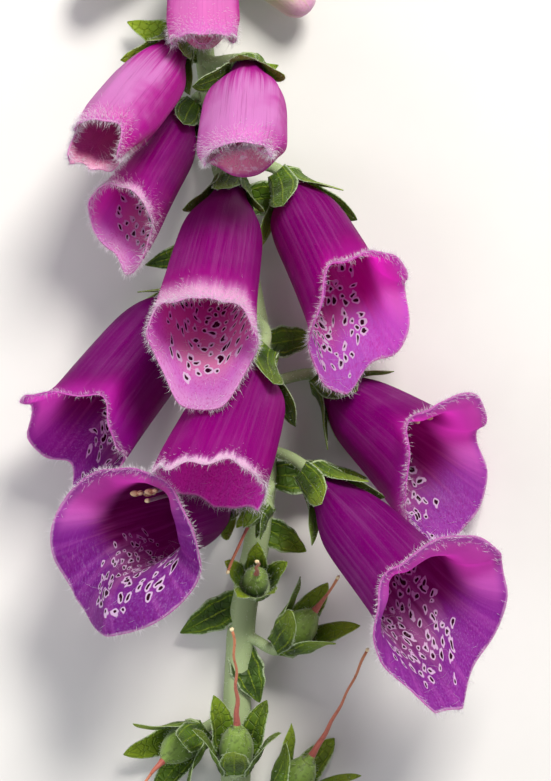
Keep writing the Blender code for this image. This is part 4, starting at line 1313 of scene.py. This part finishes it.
def inside_look(bells):
    """The inside of a bell: a throat darkened with painted shade, a violet lip, lobes above painted
    bright for the light that shines through them, and ringed spots.
    """
    look = Recipe("petal_inside")
    sine, cosine, share = look.values("way")
    arc, from_lip, from_rim = look.values("place")
    young, number, _ = look.values("kind")
    bare = look.values("shape")[1]
    grain, patches = look.clouds(2300.0, 2, 0.7), look.clouds(230.0, 3)
    turned = look.sum("ADD", sine, look.times(number, 2.3))
    streaks = look.drawn_out(turned, cosine, share, 11.0, 2.0, 3)
    opened = look.span(young, 0.9, 0.8), look.span(bare, 0.5, 0.2)

    # From the lip to the throat, darker deeper in as painted shade, and the lobes above, painted
    # bright as light shining through them
    lip = look.mix(look.span(young, 0.15, 0.45), bells.lip, bells.lip_young)
    # Painted shade: deeper into the bell the lip's colour gives way to the throat's darker one,
    # which starts further in along the floor below
    depth = look.sum("SUBTRACT", from_rim, look.span(cosine, -1.0, 1.0, 0.0, 5.0))
    throat = look.mix(look.span(young, 0.2, 0.33), bells.throat, bells.throat_young)
    look.colour = look.mix(look.span(look.uneven(depth, streaks, 1.5), 2.0, 12.0), lip, throat)
    # Partly painted light: the unspotted lip below keeps its own crimson, made bright to stand for
    # light falling on it
    below, faint = look.span(cosine, -0.4, 0.2), look.span(streaks, 0.2, 0.7, 1.0, 0.75)
    crimson = look.times(bare, below, faint)
    look.paint(crimson, bells.crimson)
    # Painted light: bright pink laid on the inside of the lobes above, for the light that shines
    # through them
    upper = look.times(
        look.span(cosine, 0.1, -0.5),
        look.span(depth, 12.0, 6.0),
        look.span(from_rim, 0.4, 2.6, 0.3, 1.0),
        look.span(young, 0.95, 0.6, 0.0, 0.95),
    )
    look.paint(upper, bells.glow)
    look.paint(look.span(streaks, 0.45, 0.7, 0.0, 0.15), bells.glow)

    # A rosy veil on the floor of younger bells, and inside one that is just opening, the fold's
    # colour by the rim and a darker dusty colour deeper in as painted shade
    veil = look.times(
        look.span(young, 0.45, 0.62),
        look.span(cosine, -0.1, 0.7),
        look.span(from_lip, 30.0, 14.0),
        look.span(from_lip, 4.0, 12.0, 0.3, 0.8),
    )
    look.paint(veil, bells.fold)
    # Painted shade: inside a bell that is just opening, the darker hollow colour lies deeper in,
    # with the fold's colour by the rim
    new = look.times(look.span(young, 0.8, 0.9), look.span(patches, 0.25, 0.7, 0.7, 0.95))
    near = look.sum("MAXIMUM", look.span(from_rim, 7.0, 1.5), look.span(young, 0.97, 0.93))
    look.paint(new, look.mix(near, bells.hollow, bells.fold))
    edge = look.times(look.span(look.uneven(from_rim, patches, 0.15), 0.5, 0.05), 0.5)
    rosy = look.times(look.span(young, 0.4, 0.7), look.span(from_rim, 5.0, 1.0), 0.4)
    look.paint(look.sum("MAXIMUM", edge, rosy), bells.margin)

    # Stipple of the lip: fine pale and dark flecks
    mottle = look.noise(look.vector(arc, look.times(from_lip, 0.7), number), 2.6, 3, 0.7)
    on_lip = look.times(look.span(cosine, -0.2, 0.6), look.span(from_rim, 14.0, 5.0))
    look.paint(look.times(look.span(mottle, 0.52, 0.7), on_lip, 0.18), bells.halo)
    look.paint(look.times(look.span(mottle, 0.48, 0.36), on_lip, 0.5), throat)

    # The paler net between the deep spots
    wide = look.uneven(spotted_width(look, from_lip), patches, 1.2)
    across = look.sum("ABSOLUTE", look.sum("SUBTRACT", arc, 0.6))
    net = look.times(
        look.span(look.sum("SUBTRACT", across, wide), 0.6, -1.4),
        look.span(from_lip, 9.0, 14.0),
        look.span(from_lip, 31.0, 24.0),
        *opened,
    )
    look.paint(look.times(net, look.span(streaks, 0.3, 0.6, 0.1, 0.3)), bells.streak)

    # Light let through: in the petal's own colour where it is old, and brighter where it is new
    through = look.mix(look.span(young, 0.34, 0.2, 0.0, 0.6), bells.through, look.colour)
    through = look.mix(look.span(young, 0.8, 0.9, 0.0, 0.7), through, look.colour)
    core, ring = spots_of(look, arc, from_lip, number, opened, bells.spot_size / MM)
    look.paint(ring, bells.halo)
    look.paint(core, bells.spot)
    glow_share = look.sum("MULTIPLY_ADD", upper, 0.34, look.span(young, 0.8, 0.9, 0.5, 0.22))
    return look.finish(
        look.bump(grain, 0.00010, 0.3, look.bump(streaks, 0.0003, 0.4)),
        glow=look.mix(core, look.mix(ring, through, bells.halo), bells.spot),
        glow_share=look.times(glow_share, look.span(crimson, 0.0, 1.0, 1.0, 0.3)),
        Roughness=look.span(grain, 0.3, 0.8, 0.38, 0.55),
        Sheen_Weight=0.03,
        Sheen_Roughness=0.4,
        Sheen_Tint=linear(240, 140, 255),
        Specular_IOR_Level=0.1,
    )


def hair_look(name, root, tip):
    """A hair: clear and pale, tinted at its root."""
    look = Recipe(name)
    share, shade, _ = look.values("hair")
    look.colour = look.mix(look.span(share, 0.0, 0.6), root, tip)
    look.paint(look.span(shade, 0.0, 1.0, 0.0, 0.35), root)
    return look.finish(glow=tip, glow_share=0.5, Roughness=0.35, Specular_IOR_Level=0.6)


def leaf_look(greens):
    """Sepals and bracts: green with a paler net of veins, a pale rim, and light coming through."""
    look = Recipe("leaf")
    s, t, kind = look.values("leaf")
    side = look.sum("ABSOLUTE", s)
    patches, grain = look.clouds(190.0, 3), look.clouds(1500.0, 3, 0.65)
    feeds = {"Vector": look.space(), "Scale": 620.0}
    net = look.add("TexVoronoi", feeds, feature="DISTANCE_TO_EDGE")
    three_ribs = look.sum("COSINE", look.times(side, 9.42))
    lines = look.span(look.uneven(three_ribs, grain, 0.12), 0.82, 0.98)
    look.colour = look.mix(look.span(patches, 0.3, 0.7), greens.deep, greens.leaf)
    look.paint(look.times(look.span(t, 0.25, 1.0), look.span(kind, 0.2, 1.0), 0.75), greens.fresh)
    look.paint(look.times(lines, 0.4), greens.fresh)
    look.paint(look.span(net, 0.07, 0.0, 0.0, 0.3), greens.deep)
    look.paint(look.times(look.span(look.uneven(side, grain, 0.05), 0.86, 0.98), 0.8), greens.rim)
    height = look.sum("ADD", lines, look.span(net, 0.0, 0.12))
    return look.finish(
        look.bump(height, 0.00025, 0.7, look.bump(grain, 0.00012, 0.5)),
        glow=greens.fresh,
        glow_share=0.22,
        Roughness=look.span(grain, 0.3, 0.7, 0.45, 0.65),
        Sheen_Weight=0.1,
        Sheen_Tint=linear(225, 240, 190),
        Specular_IOR_Level=0.3,
    )


def stem_look(greens):
    """The stem and stalks: green with a glaucous bloom, drawn out in streaks along it."""
    look = Recipe("stem")
    streaks = look.clouds(900.0, 4, 0.6, (1.0, 0.09, 1.0))
    broad = look.clouds(170.0, 3, stretch=(1.0, 0.25, 1.0))
    grain = look.clouds(2200.0, 2, 0.7)
    look.colour = look.mix(look.span(broad, 0.3, 0.7), greens.stem, greens.leaf)
    look.paint(look.span(streaks, 0.45, 0.7, 0.0, 0.6), greens.rim)
    look.paint(look.span(streaks, 0.45, 0.28, 0.0, 0.4), greens.deep)
    look.paint(look.span(grain, 0.55, 0.75, 0.0, 0.3), greens.rim)
    return look.finish(
        look.bump(streaks, 0.0003, 0.6, look.bump(grain, 0.00008, 0.4)),
        Roughness=look.span(grain, 0.3, 0.7, 0.42, 0.6),
        Sheen_Weight=0.18,
        Sheen_Tint=linear(215, 240, 215),
        Subsurface_Weight=0.12,
        Subsurface_Radius=(0.4, 0.9, 0.2),
        Subsurface_Scale=0.001,
        Specular_IOR_Level=0.4,
    )


def part_look(name, start, end, freckle, strength, at=(0.0, 1.0), roughness=0.5):
    """A small part that changes colour along its length, with freckles and a fine grain."""
    look = Recipe(name)
    t, angle, _ = look.values("part")
    grain, dots = look.clouds(1900.0, 3, 0.65), look.clouds(1100.0, 1)
    lines = look.noise(look.vector(look.times(angle, 3.0), look.times(t, 2.0)), 2.0, 3)
    look.colour = look.mix(look.span(t, *at), start, end)
    look.paint(look.span(lines, 0.4, 0.7, 0.0, 0.25), freckle)
    look.paint(look.span(dots, 0.58, 0.66, 0.0, strength), freckle)
    return look.finish(
        look.bump(grain, 0.00015, 0.6),
        glow=end,
        glow_share=0.12,
        Roughness=roughness,
        Sheen_Weight=0.2,
        Specular_IOR_Level=0.4,
    )


def stigma_look(small):
    """The lips at the end of a style."""
    return part_look("stigma", small.stigma, small.stigma, linear(206, 170, 120), 0.4)


def bud_look(greens):
    """A closed bell: greenish cream at its foot, turning to pale rose, with rose streaks."""
    look = Recipe("bud_body")
    t, angle, size = look.values("part")
    grain = look.clouds(1900.0, 3, 0.65)
    round_it = look.sum("SINE", angle), look.sum("COSINE", angle)
    lines = look.noise(look.vector(*round_it, look.times(t, 0.5)), 5.0, 3)
    ripe = look.times(look.span(t, 0.3, 1.0), look.span(size, 0.35, 0.95))
    look.colour = look.mix(ripe, greens.bud, greens.bud_tip)
    look.paint(look.span(lines, 0.45, 0.7, 0.0, 0.35), greens.fresh)
    look.paint(look.times(look.span(grain, 0.5, 0.7), ripe, 0.4), linear(196, 70, 160))
    return look.finish(
        look.bump(grain, 0.00015, 0.5, look.bump(lines, 0.0004, 0.4)),
        glow=greens.bud_tip,
        glow_share=0.15,
        Roughness=0.5,
        Sheen_Weight=0.35,
    )


# --- settings -------------------------------------------------------------------------------


def colour_of(name, description, red, green, blue):
    """A colour setting, with its default from 0 to 255."""
    return FloatVectorProperty(
        name=name,
        description=description,
        subtype="COLOR",
        size=3,
        min=0,
        max=1,
        default=linear(red, green, blue),
    )


def length_of(name, description, millimetres):
    """A length setting, with its default in millimetres."""
    return FloatProperty(
        name=name,
        description=description,
        unit="LENGTH",
        precision=5,
        min=0,
        default=millimetres * MM,
    )


class FoxgloveBells(bpy.types.PropertyGroup):
    """Sizes and colours of the bells."""

    petal: length_of("Petal", "Thickness of a bell's wall", 0.36)
    spot_size: length_of("Spots", "Width of a spot on the floor of a bell", 0.68)
    tube: colour_of("Tube", "Outside of a bell", 122, 0, 112)
    tube_young: colour_of("Young tube", "The same, of a bell that is just opening", 182, 24, 158)
    foot: colour_of("Foot", "Outside of a bell where its calyx holds it", 122, 22, 128)
    # Streaks also give the pale pink painted on a young bell's upper side, partly a painted
    # highlight
    streak: colour_of("Streaks", "Paler streaks, and the upper side of a young bell", 216, 150, 216)
    vein: colour_of("Veins", "Fine dark lines along the outside", 96, 0, 84)
    margin: colour_of("Margin", "Band above the mouth and edge of a bell", 246, 218, 240)
    fold: colour_of("Fold", "Lip of a young bell, folded over its mouth", 232, 150, 174)
    lip: colour_of("Lip", "Inside of a bell near its rim", 120, 42, 146)
    lip_young: colour_of("Young lip", "The same, of a bell not open for long", 200, 104, 222)
    # Partly painted light: a lip's own crimson, made bright to stand for light falling on it
    crimson: colour_of("Crimson lip", "Inside of a lip that has no spots", 252, 72, 224)
    # Painted shade: the darker dusty colour deeper inside a bell that is just opening
    hollow: colour_of("Hollow", "Inside of a bell that is just opening", 190, 118, 158)
    # Throat colours: the darker tones that the inside turns to deeper in, as painted shade
    throat: colour_of("Throat", "Inside of a bell deeper in", 82, 0, 64)
    throat_young: colour_of("Young throat", "The same, of a younger bell", 176, 0, 118)
    # Painted light: bright pink laid inside the lobes above for light shining through them; also
    # the colour of light let through at an open rim
    glow: colour_of("Roof", "Inside of the lobes above", 255, 148, 244)
    through: colour_of("Light through", "Light that a petal lets through", 250, 60, 218)
    halo: colour_of("Rings", "Pale ring round a spot", 236, 212, 240)
    spot: colour_of("Spots", "Spots on the floor of a bell", 52, 0, 34)


class FoxgloveHairs(bpy.types.PropertyGroup):
    """Sizes and colours of the hairs on the bells."""

    length: length_of("Length", "Length of a hair on the rim", 1.9)
    width: length_of("Width", "Width of a hair at its root", 0.076)
    each_mm: IntProperty(
        name="Hairs", description="Hairs to a millimetre of rim", min=1, max=12, default=9
    )
    root: colour_of("Root", "Colour of a hair at its root", 248, 220, 246)
    tip: colour_of("Tip", "Colour of a hair at its tip", 255, 254, 255)


class FoxgloveGreens(bpy.types.PropertyGroup):
    """Sizes and colours of the stem, sepals, bracts, pods and buds."""

    down: length_of("Down", "Length of the short hairs on green parts", 0.8)
    down_width: length_of("Down width", "Width of those hairs at the root", 0.06)
    deep: colour_of("Deep", "Green in the hollows and between veins", 36, 60, 12)
    leaf: colour_of("Leaf", "Green of sepals and bracts", 88, 122, 28)
    fresh: colour_of("Fresh", "Green of young growth and of light through a blade", 172, 198, 40)
    rim: colour_of("Rim", "Pale edge and bloom on the green", 196, 214, 172)
    stem: colour_of("Stem", "Green of the stem and stalks", 98, 144, 80)
    flesh: colour_of("Cut", "Flesh at the foot of the stem, where it was cut", 196, 210, 150)
    down_tip: colour_of("Down tip", "Colour of the short hairs", 236, 242, 228)
    bud: colour_of("Bud", "Closed bells at their foot", 196, 205, 150)
    bud_tip: colour_of("Bud tip", "Closed bells at their tip", 224, 150, 200)


class FoxgloveSmallParts(bpy.types.PropertyGroup):
    """Colours of the stamens and pistils."""

    filament: colour_of("Filament", "Threads that carry the pollen sacs", 240, 214, 232)
    sac: colour_of("Pollen sac", "Pollen sacs", 220, 164, 122)
    freckle: colour_of("Freckles", "Freckles on the pollen sacs", 150, 60, 60)
    ovary: colour_of("Ovary", "Ovary at the foot of the style", 150, 176, 90)
    style: colour_of("Style", "Style of an open flower", 236, 200, 222)
    stigma: colour_of("Stigma", "Lips at the end of the style", 244, 228, 178)
    faded: colour_of("Faded style", "Style after its bell has dropped", 182, 94, 84)


class FoxgloveStage(bpy.types.PropertyGroup):
    """The table, the lamps and the camera."""

    floor: colour_of("Table", "Colour of the table", 218, 216, 212)
    height: FloatProperty(
        name="Height", description="Camera above the table", unit="LENGTH", default=0.762
    )
    lens: FloatProperty(
        name="Lens", description="Focal length in millimetres", min=10, default=172.9
    )
    key: FloatProperty(
        name="Key", description="Power of the large lamp, in watts", min=0, default=10.5
    )
    fill: FloatProperty(
        name="Fill", description="Power of the lamp opposite, in watts", min=0, default=3.0
    )
    sky: FloatProperty(
        name="Sky", description="Strength of the light all round", min=0, default=0.45
    )


# --- operators ------------------------------------------------------------------------------


def finish_as(kind, flower, ending, form, looks):
    """Finish a flower's form in place of the part's node."""
    node = node_of(kind, flower)
    form.finish(f"{node}_{ending}", looks, [node], kind)


def made_once(name, recipe):
    """A finish by name, made by its recipe the first time."""
    return bpy.data.materials.get(name) or recipe()


def green_looks(context, body=None):
    """The finishes of a green piece in the order of their slots, with the piece's own body."""
    greens, small = context.scene.foxglove_greens, context.scene.foxglove_small
    dark, light = linear(120, 56, 46), linear(204, 132, 90)
    leaf = made_once("leaf", lambda: leaf_look(greens))
    return [
        leaf,
        made_once("down", lambda: hair_look("down", greens.rim, greens.down_tip)),
        body or leaf,
        made_once("thread", lambda: part_look("thread", small.faded, light, dark, 0.4)),
        made_once("stigma", lambda: stigma_look(small)),
        made_once("stem", lambda: stem_look(greens)),
    ]


class FOXGLOVE_OT_bells(bpy.types.Operator):
    """Make the open bells"""

    bl_idname = "foxglove.bells"
    bl_label = "Bells"

    def execute(self, context):
        bells = context.scene.foxglove_bells
        looks = [outside_look(bells), inside_look(bells)]
        for bloom in BLOOMS:
            form = bell_form(Wall(bloom, PETAL_GRID), bells.petal / MM)
            finish_as("bell", bloom, "petals", form, looks)
        return {"FINISHED"}


class FOXGLOVE_OT_hairs(bpy.types.Operator):
    """Make the hairs of the bells"""

    bl_idname = "foxglove.hairs"
    bl_label = "Hairs of the bells"

    def execute(self, context):
        hairs = context.scene.foxglove_hairs
        looks = [hair_look("bell_hair", hairs.root, hairs.tip)]
        sizes = hairs.length / MM, hairs.width / MM / 2, hairs.each_mm
        for bloom in BLOOMS:
            form = bell_hairs(Wall(bloom, PETAL_GRID), *sizes)
            form.finish(f"{node_of('bell', bloom)}_hairs", looks, (), "bell")
        return {"FINISHED"}


class FOXGLOVE_OT_calyxes(bpy.types.Operator):
    """Make the stalks and sepals of the open flowers"""

    bl_idname = "foxglove.calyxes"
    bl_label = "Calyxes"

    def execute(self, context):
        greens, looks = context.scene.foxglove_greens, green_looks(context)
        for bloom in BLOOMS:
            finish_as("calyx", bloom, "sepals", calyx_form(bloom, greens), looks)
        return {"FINISHED"}


class FOXGLOVE_OT_small_parts(bpy.types.Operator):
    """Make the stamens and pistils inside the bells"""

    bl_idname = "foxglove.small_parts"
    bl_label = "Stamens and pistils"

    def execute(self, context):
        small = context.scene.foxglove_small
        thread = small.filament, linear(244, 228, 240), linear(214, 140, 196)
        sac = small.sac, linear(238, 208, 160), small.freckle
        style = small.ovary, small.style, linear(120, 140, 80)
        stamens = [
            part_look("filament", *thread, 0.3),
            part_look("pollen_sac", *sac, 0.7, roughness=0.7),
        ]
        pistil = [
            part_look("pistil", *style, 0.25, at=(0.1, 0.42)),
            made_once("stigma", lambda: stigma_look(small)),
        ]
        for bloom in BLOOMS:
            finish_as("stamens", bloom, "sacs", stamens_form(bloom), stamens)
            finish_as("pistil", bloom, "style", pistil_form(bloom), pistil)
        return {"FINISHED"}


class FOXGLOVE_OT_pods(bpy.types.Operator):
    """Make the flowers that have dropped their bells"""

    bl_idname = "foxglove.pods"
    bl_label = "Pods"

    def execute(self, context):
        greens = context.scene.foxglove_greens
        colours = linear(98, 130, 42), linear(130, 158, 70), linear(72, 88, 34)
        looks = green_looks(context, part_look("pod_body", *colours, 0.5))
        for pod in PODS:
            finish_as("pod", pod, "fruit", pod_form(pod, greens), looks)
        return {"FINISHED"}


class FOXGLOVE_OT_buds(bpy.types.Operator):
    """Make the closed flowers"""

    bl_idname = "foxglove.buds"
    bl_label = "Buds"

    def execute(self, context):
        greens = context.scene.foxglove_greens
        looks = green_looks(context, made_once("bud_body", lambda: bud_look(greens)))
        for bud in BUDS:
            finish_as("bud", bud, "closed", bud_form(bud, greens), looks)
        return {"FINISHED"}


class FOXGLOVE_OT_stem(bpy.types.Operator):
    """Make the stem, its bracts and the buds at its tip"""

    bl_idname = "foxglove.stem"
    bl_label = "Stem"

    def execute(self, context):
        greens = context.scene.foxglove_greens
        looks = green_looks(context, made_once("bud_body", lambda: bud_look(greens)))
        colours = greens.flesh, greens.flesh, linear(150, 170, 110)
        looks.append(part_look("stem_cut", *colours, 0.5))
        stem_form(greens).finish("stem_and_bracts", looks, ["stem"], "stem")
        return {"FINISHED"}


def lamp(name, place, size, power, colour):
    """A square soft lamp, aimed at the middle of the spike."""
    light = bpy.data.lights.new(name, "AREA")
    light.size, light.energy, light.color = size, power, colour
    made = bpy.data.objects.new(name, light)
    made.location = place
    made.rotation_euler = (-Vector(place)).to_track_quat("-Z", "Y").to_euler()
    bpy.context.scene.collection.objects.link(made)


class FOXGLOVE_OT_stage(bpy.types.Operator):
    """Make the table, the lamps and the camera over the middle of the spike"""

    bl_idname = "foxglove.stage"
    bl_label = "Table, lamps and camera"

    def execute(self, context):
        scene, stage = context.scene, context.scene.foxglove_stage
        reach = 3.0
        corners = [(-reach, -reach, 0), (reach, -reach, 0), (reach, reach, 0), (-reach, reach, 0)]
        mesh = bpy.data.meshes.new("table")
        mesh.from_pydata(corners, [], [(0, 1, 2, 3)])
        look = Recipe("table")
        grain = look.clouds(60.0, 4, 0.6)
        darker = tuple(0.93 * value for value in stage.floor)
        look.colour = look.mix(look.span(grain, 0.3, 0.7, 0.0, 0.25), stage.floor, darker)
        mesh.materials.append(look.finish(look.bump(grain, 0.0002, 0.2), Roughness=0.75))
        table = bpy.data.objects.new("table", mesh)
        table.location.z = -0.00002  # so that it doesn't lie in the plane of the lowest points
        scene.collection.objects.link(table)
        lamp("key_lamp", (0.22, 0.52, 0.72), 0.3, stage.key, (1.0, 0.97, 0.92))
        lamp("fill_lamp", (-0.62, -0.30, 0.60), 0.7, stage.fill, (0.92, 0.95, 1.0))
        scene.world = bpy.data.worlds.new("studio")
        scene.world.use_nodes = True
        sky = scene.world.node_tree.nodes["Background"]
        sky.inputs["Color"].default_value = (0.93, 0.95, 1.0, 1)
        sky.inputs["Strength"].default_value = stage.sky
        scene.view_settings.view_transform = "Standard"
        camera = bpy.data.cameras.new("camera")
        camera.lens, camera.clip_start, camera.clip_end = stage.lens, 0.01, 20
        eye = bpy.data.objects.new("camera", camera)
        eye.location = (HOME[0] * MM, HOME[1] * MM, stage.height)
        scene.collection.objects.link(eye)
        scene.camera = eye
        return {"FINISHED"}


class FOXGLOVE_PT_panel(bpy.types.Panel):
    """The pieces of the spike, each with its settings"""

    bl_label = "Foxglove spike"
    bl_space_type = "VIEW_3D"
    bl_region_type = "UI"
    bl_category = "Foxglove"

    def draw(self, context):
        for group in GROUPS:
            box = self.layout.box()
            settings = getattr(context.scene, group)
            for name in settings.bl_rna.properties.keys():
                if name not in ("rna_type", "name"):
                    box.prop(settings, name)
        for operator in OPERATORS:
            self.layout.operator(operator.bl_idname)


GROUPS = {
    "foxglove_bells": FoxgloveBells,
    "foxglove_hairs": FoxgloveHairs,
    "foxglove_greens": FoxgloveGreens,
    "foxglove_small": FoxgloveSmallParts,
    "foxglove_stage": FoxgloveStage,
}
OPERATORS = (
    FOXGLOVE_OT_bells,
    FOXGLOVE_OT_hairs,
    FOXGLOVE_OT_calyxes,
    FOXGLOVE_OT_small_parts,
    FOXGLOVE_OT_pods,
    FOXGLOVE_OT_buds,
    FOXGLOVE_OT_stem,
    FOXGLOVE_OT_stage,
)


def register():
    """Make the settings, operators and panel known to Blender."""
    for kind in (*GROUPS.values(), *OPERATORS, FOXGLOVE_PT_panel):
        bpy.utils.register_class(kind)
    for name, group in GROUPS.items():
        setattr(bpy.types.Scene, name, PointerProperty(type=group))


def unregister():
    """Take them away again."""
    for name in GROUPS:
        delattr(bpy.types.Scene, name)
    for kind in reversed((*GROUPS.values(), *OPERATORS, FOXGLOVE_PT_panel)):
        bpy.utils.unregister_class(kind)


def main():
    """Make every piece and the stage."""
    register()
    for operator in OPERATORS:
        name = operator.bl_idname.split(".")[1]
        getattr(bpy.ops.foxglove, name)()


if __name__ == "__main__":
    main()
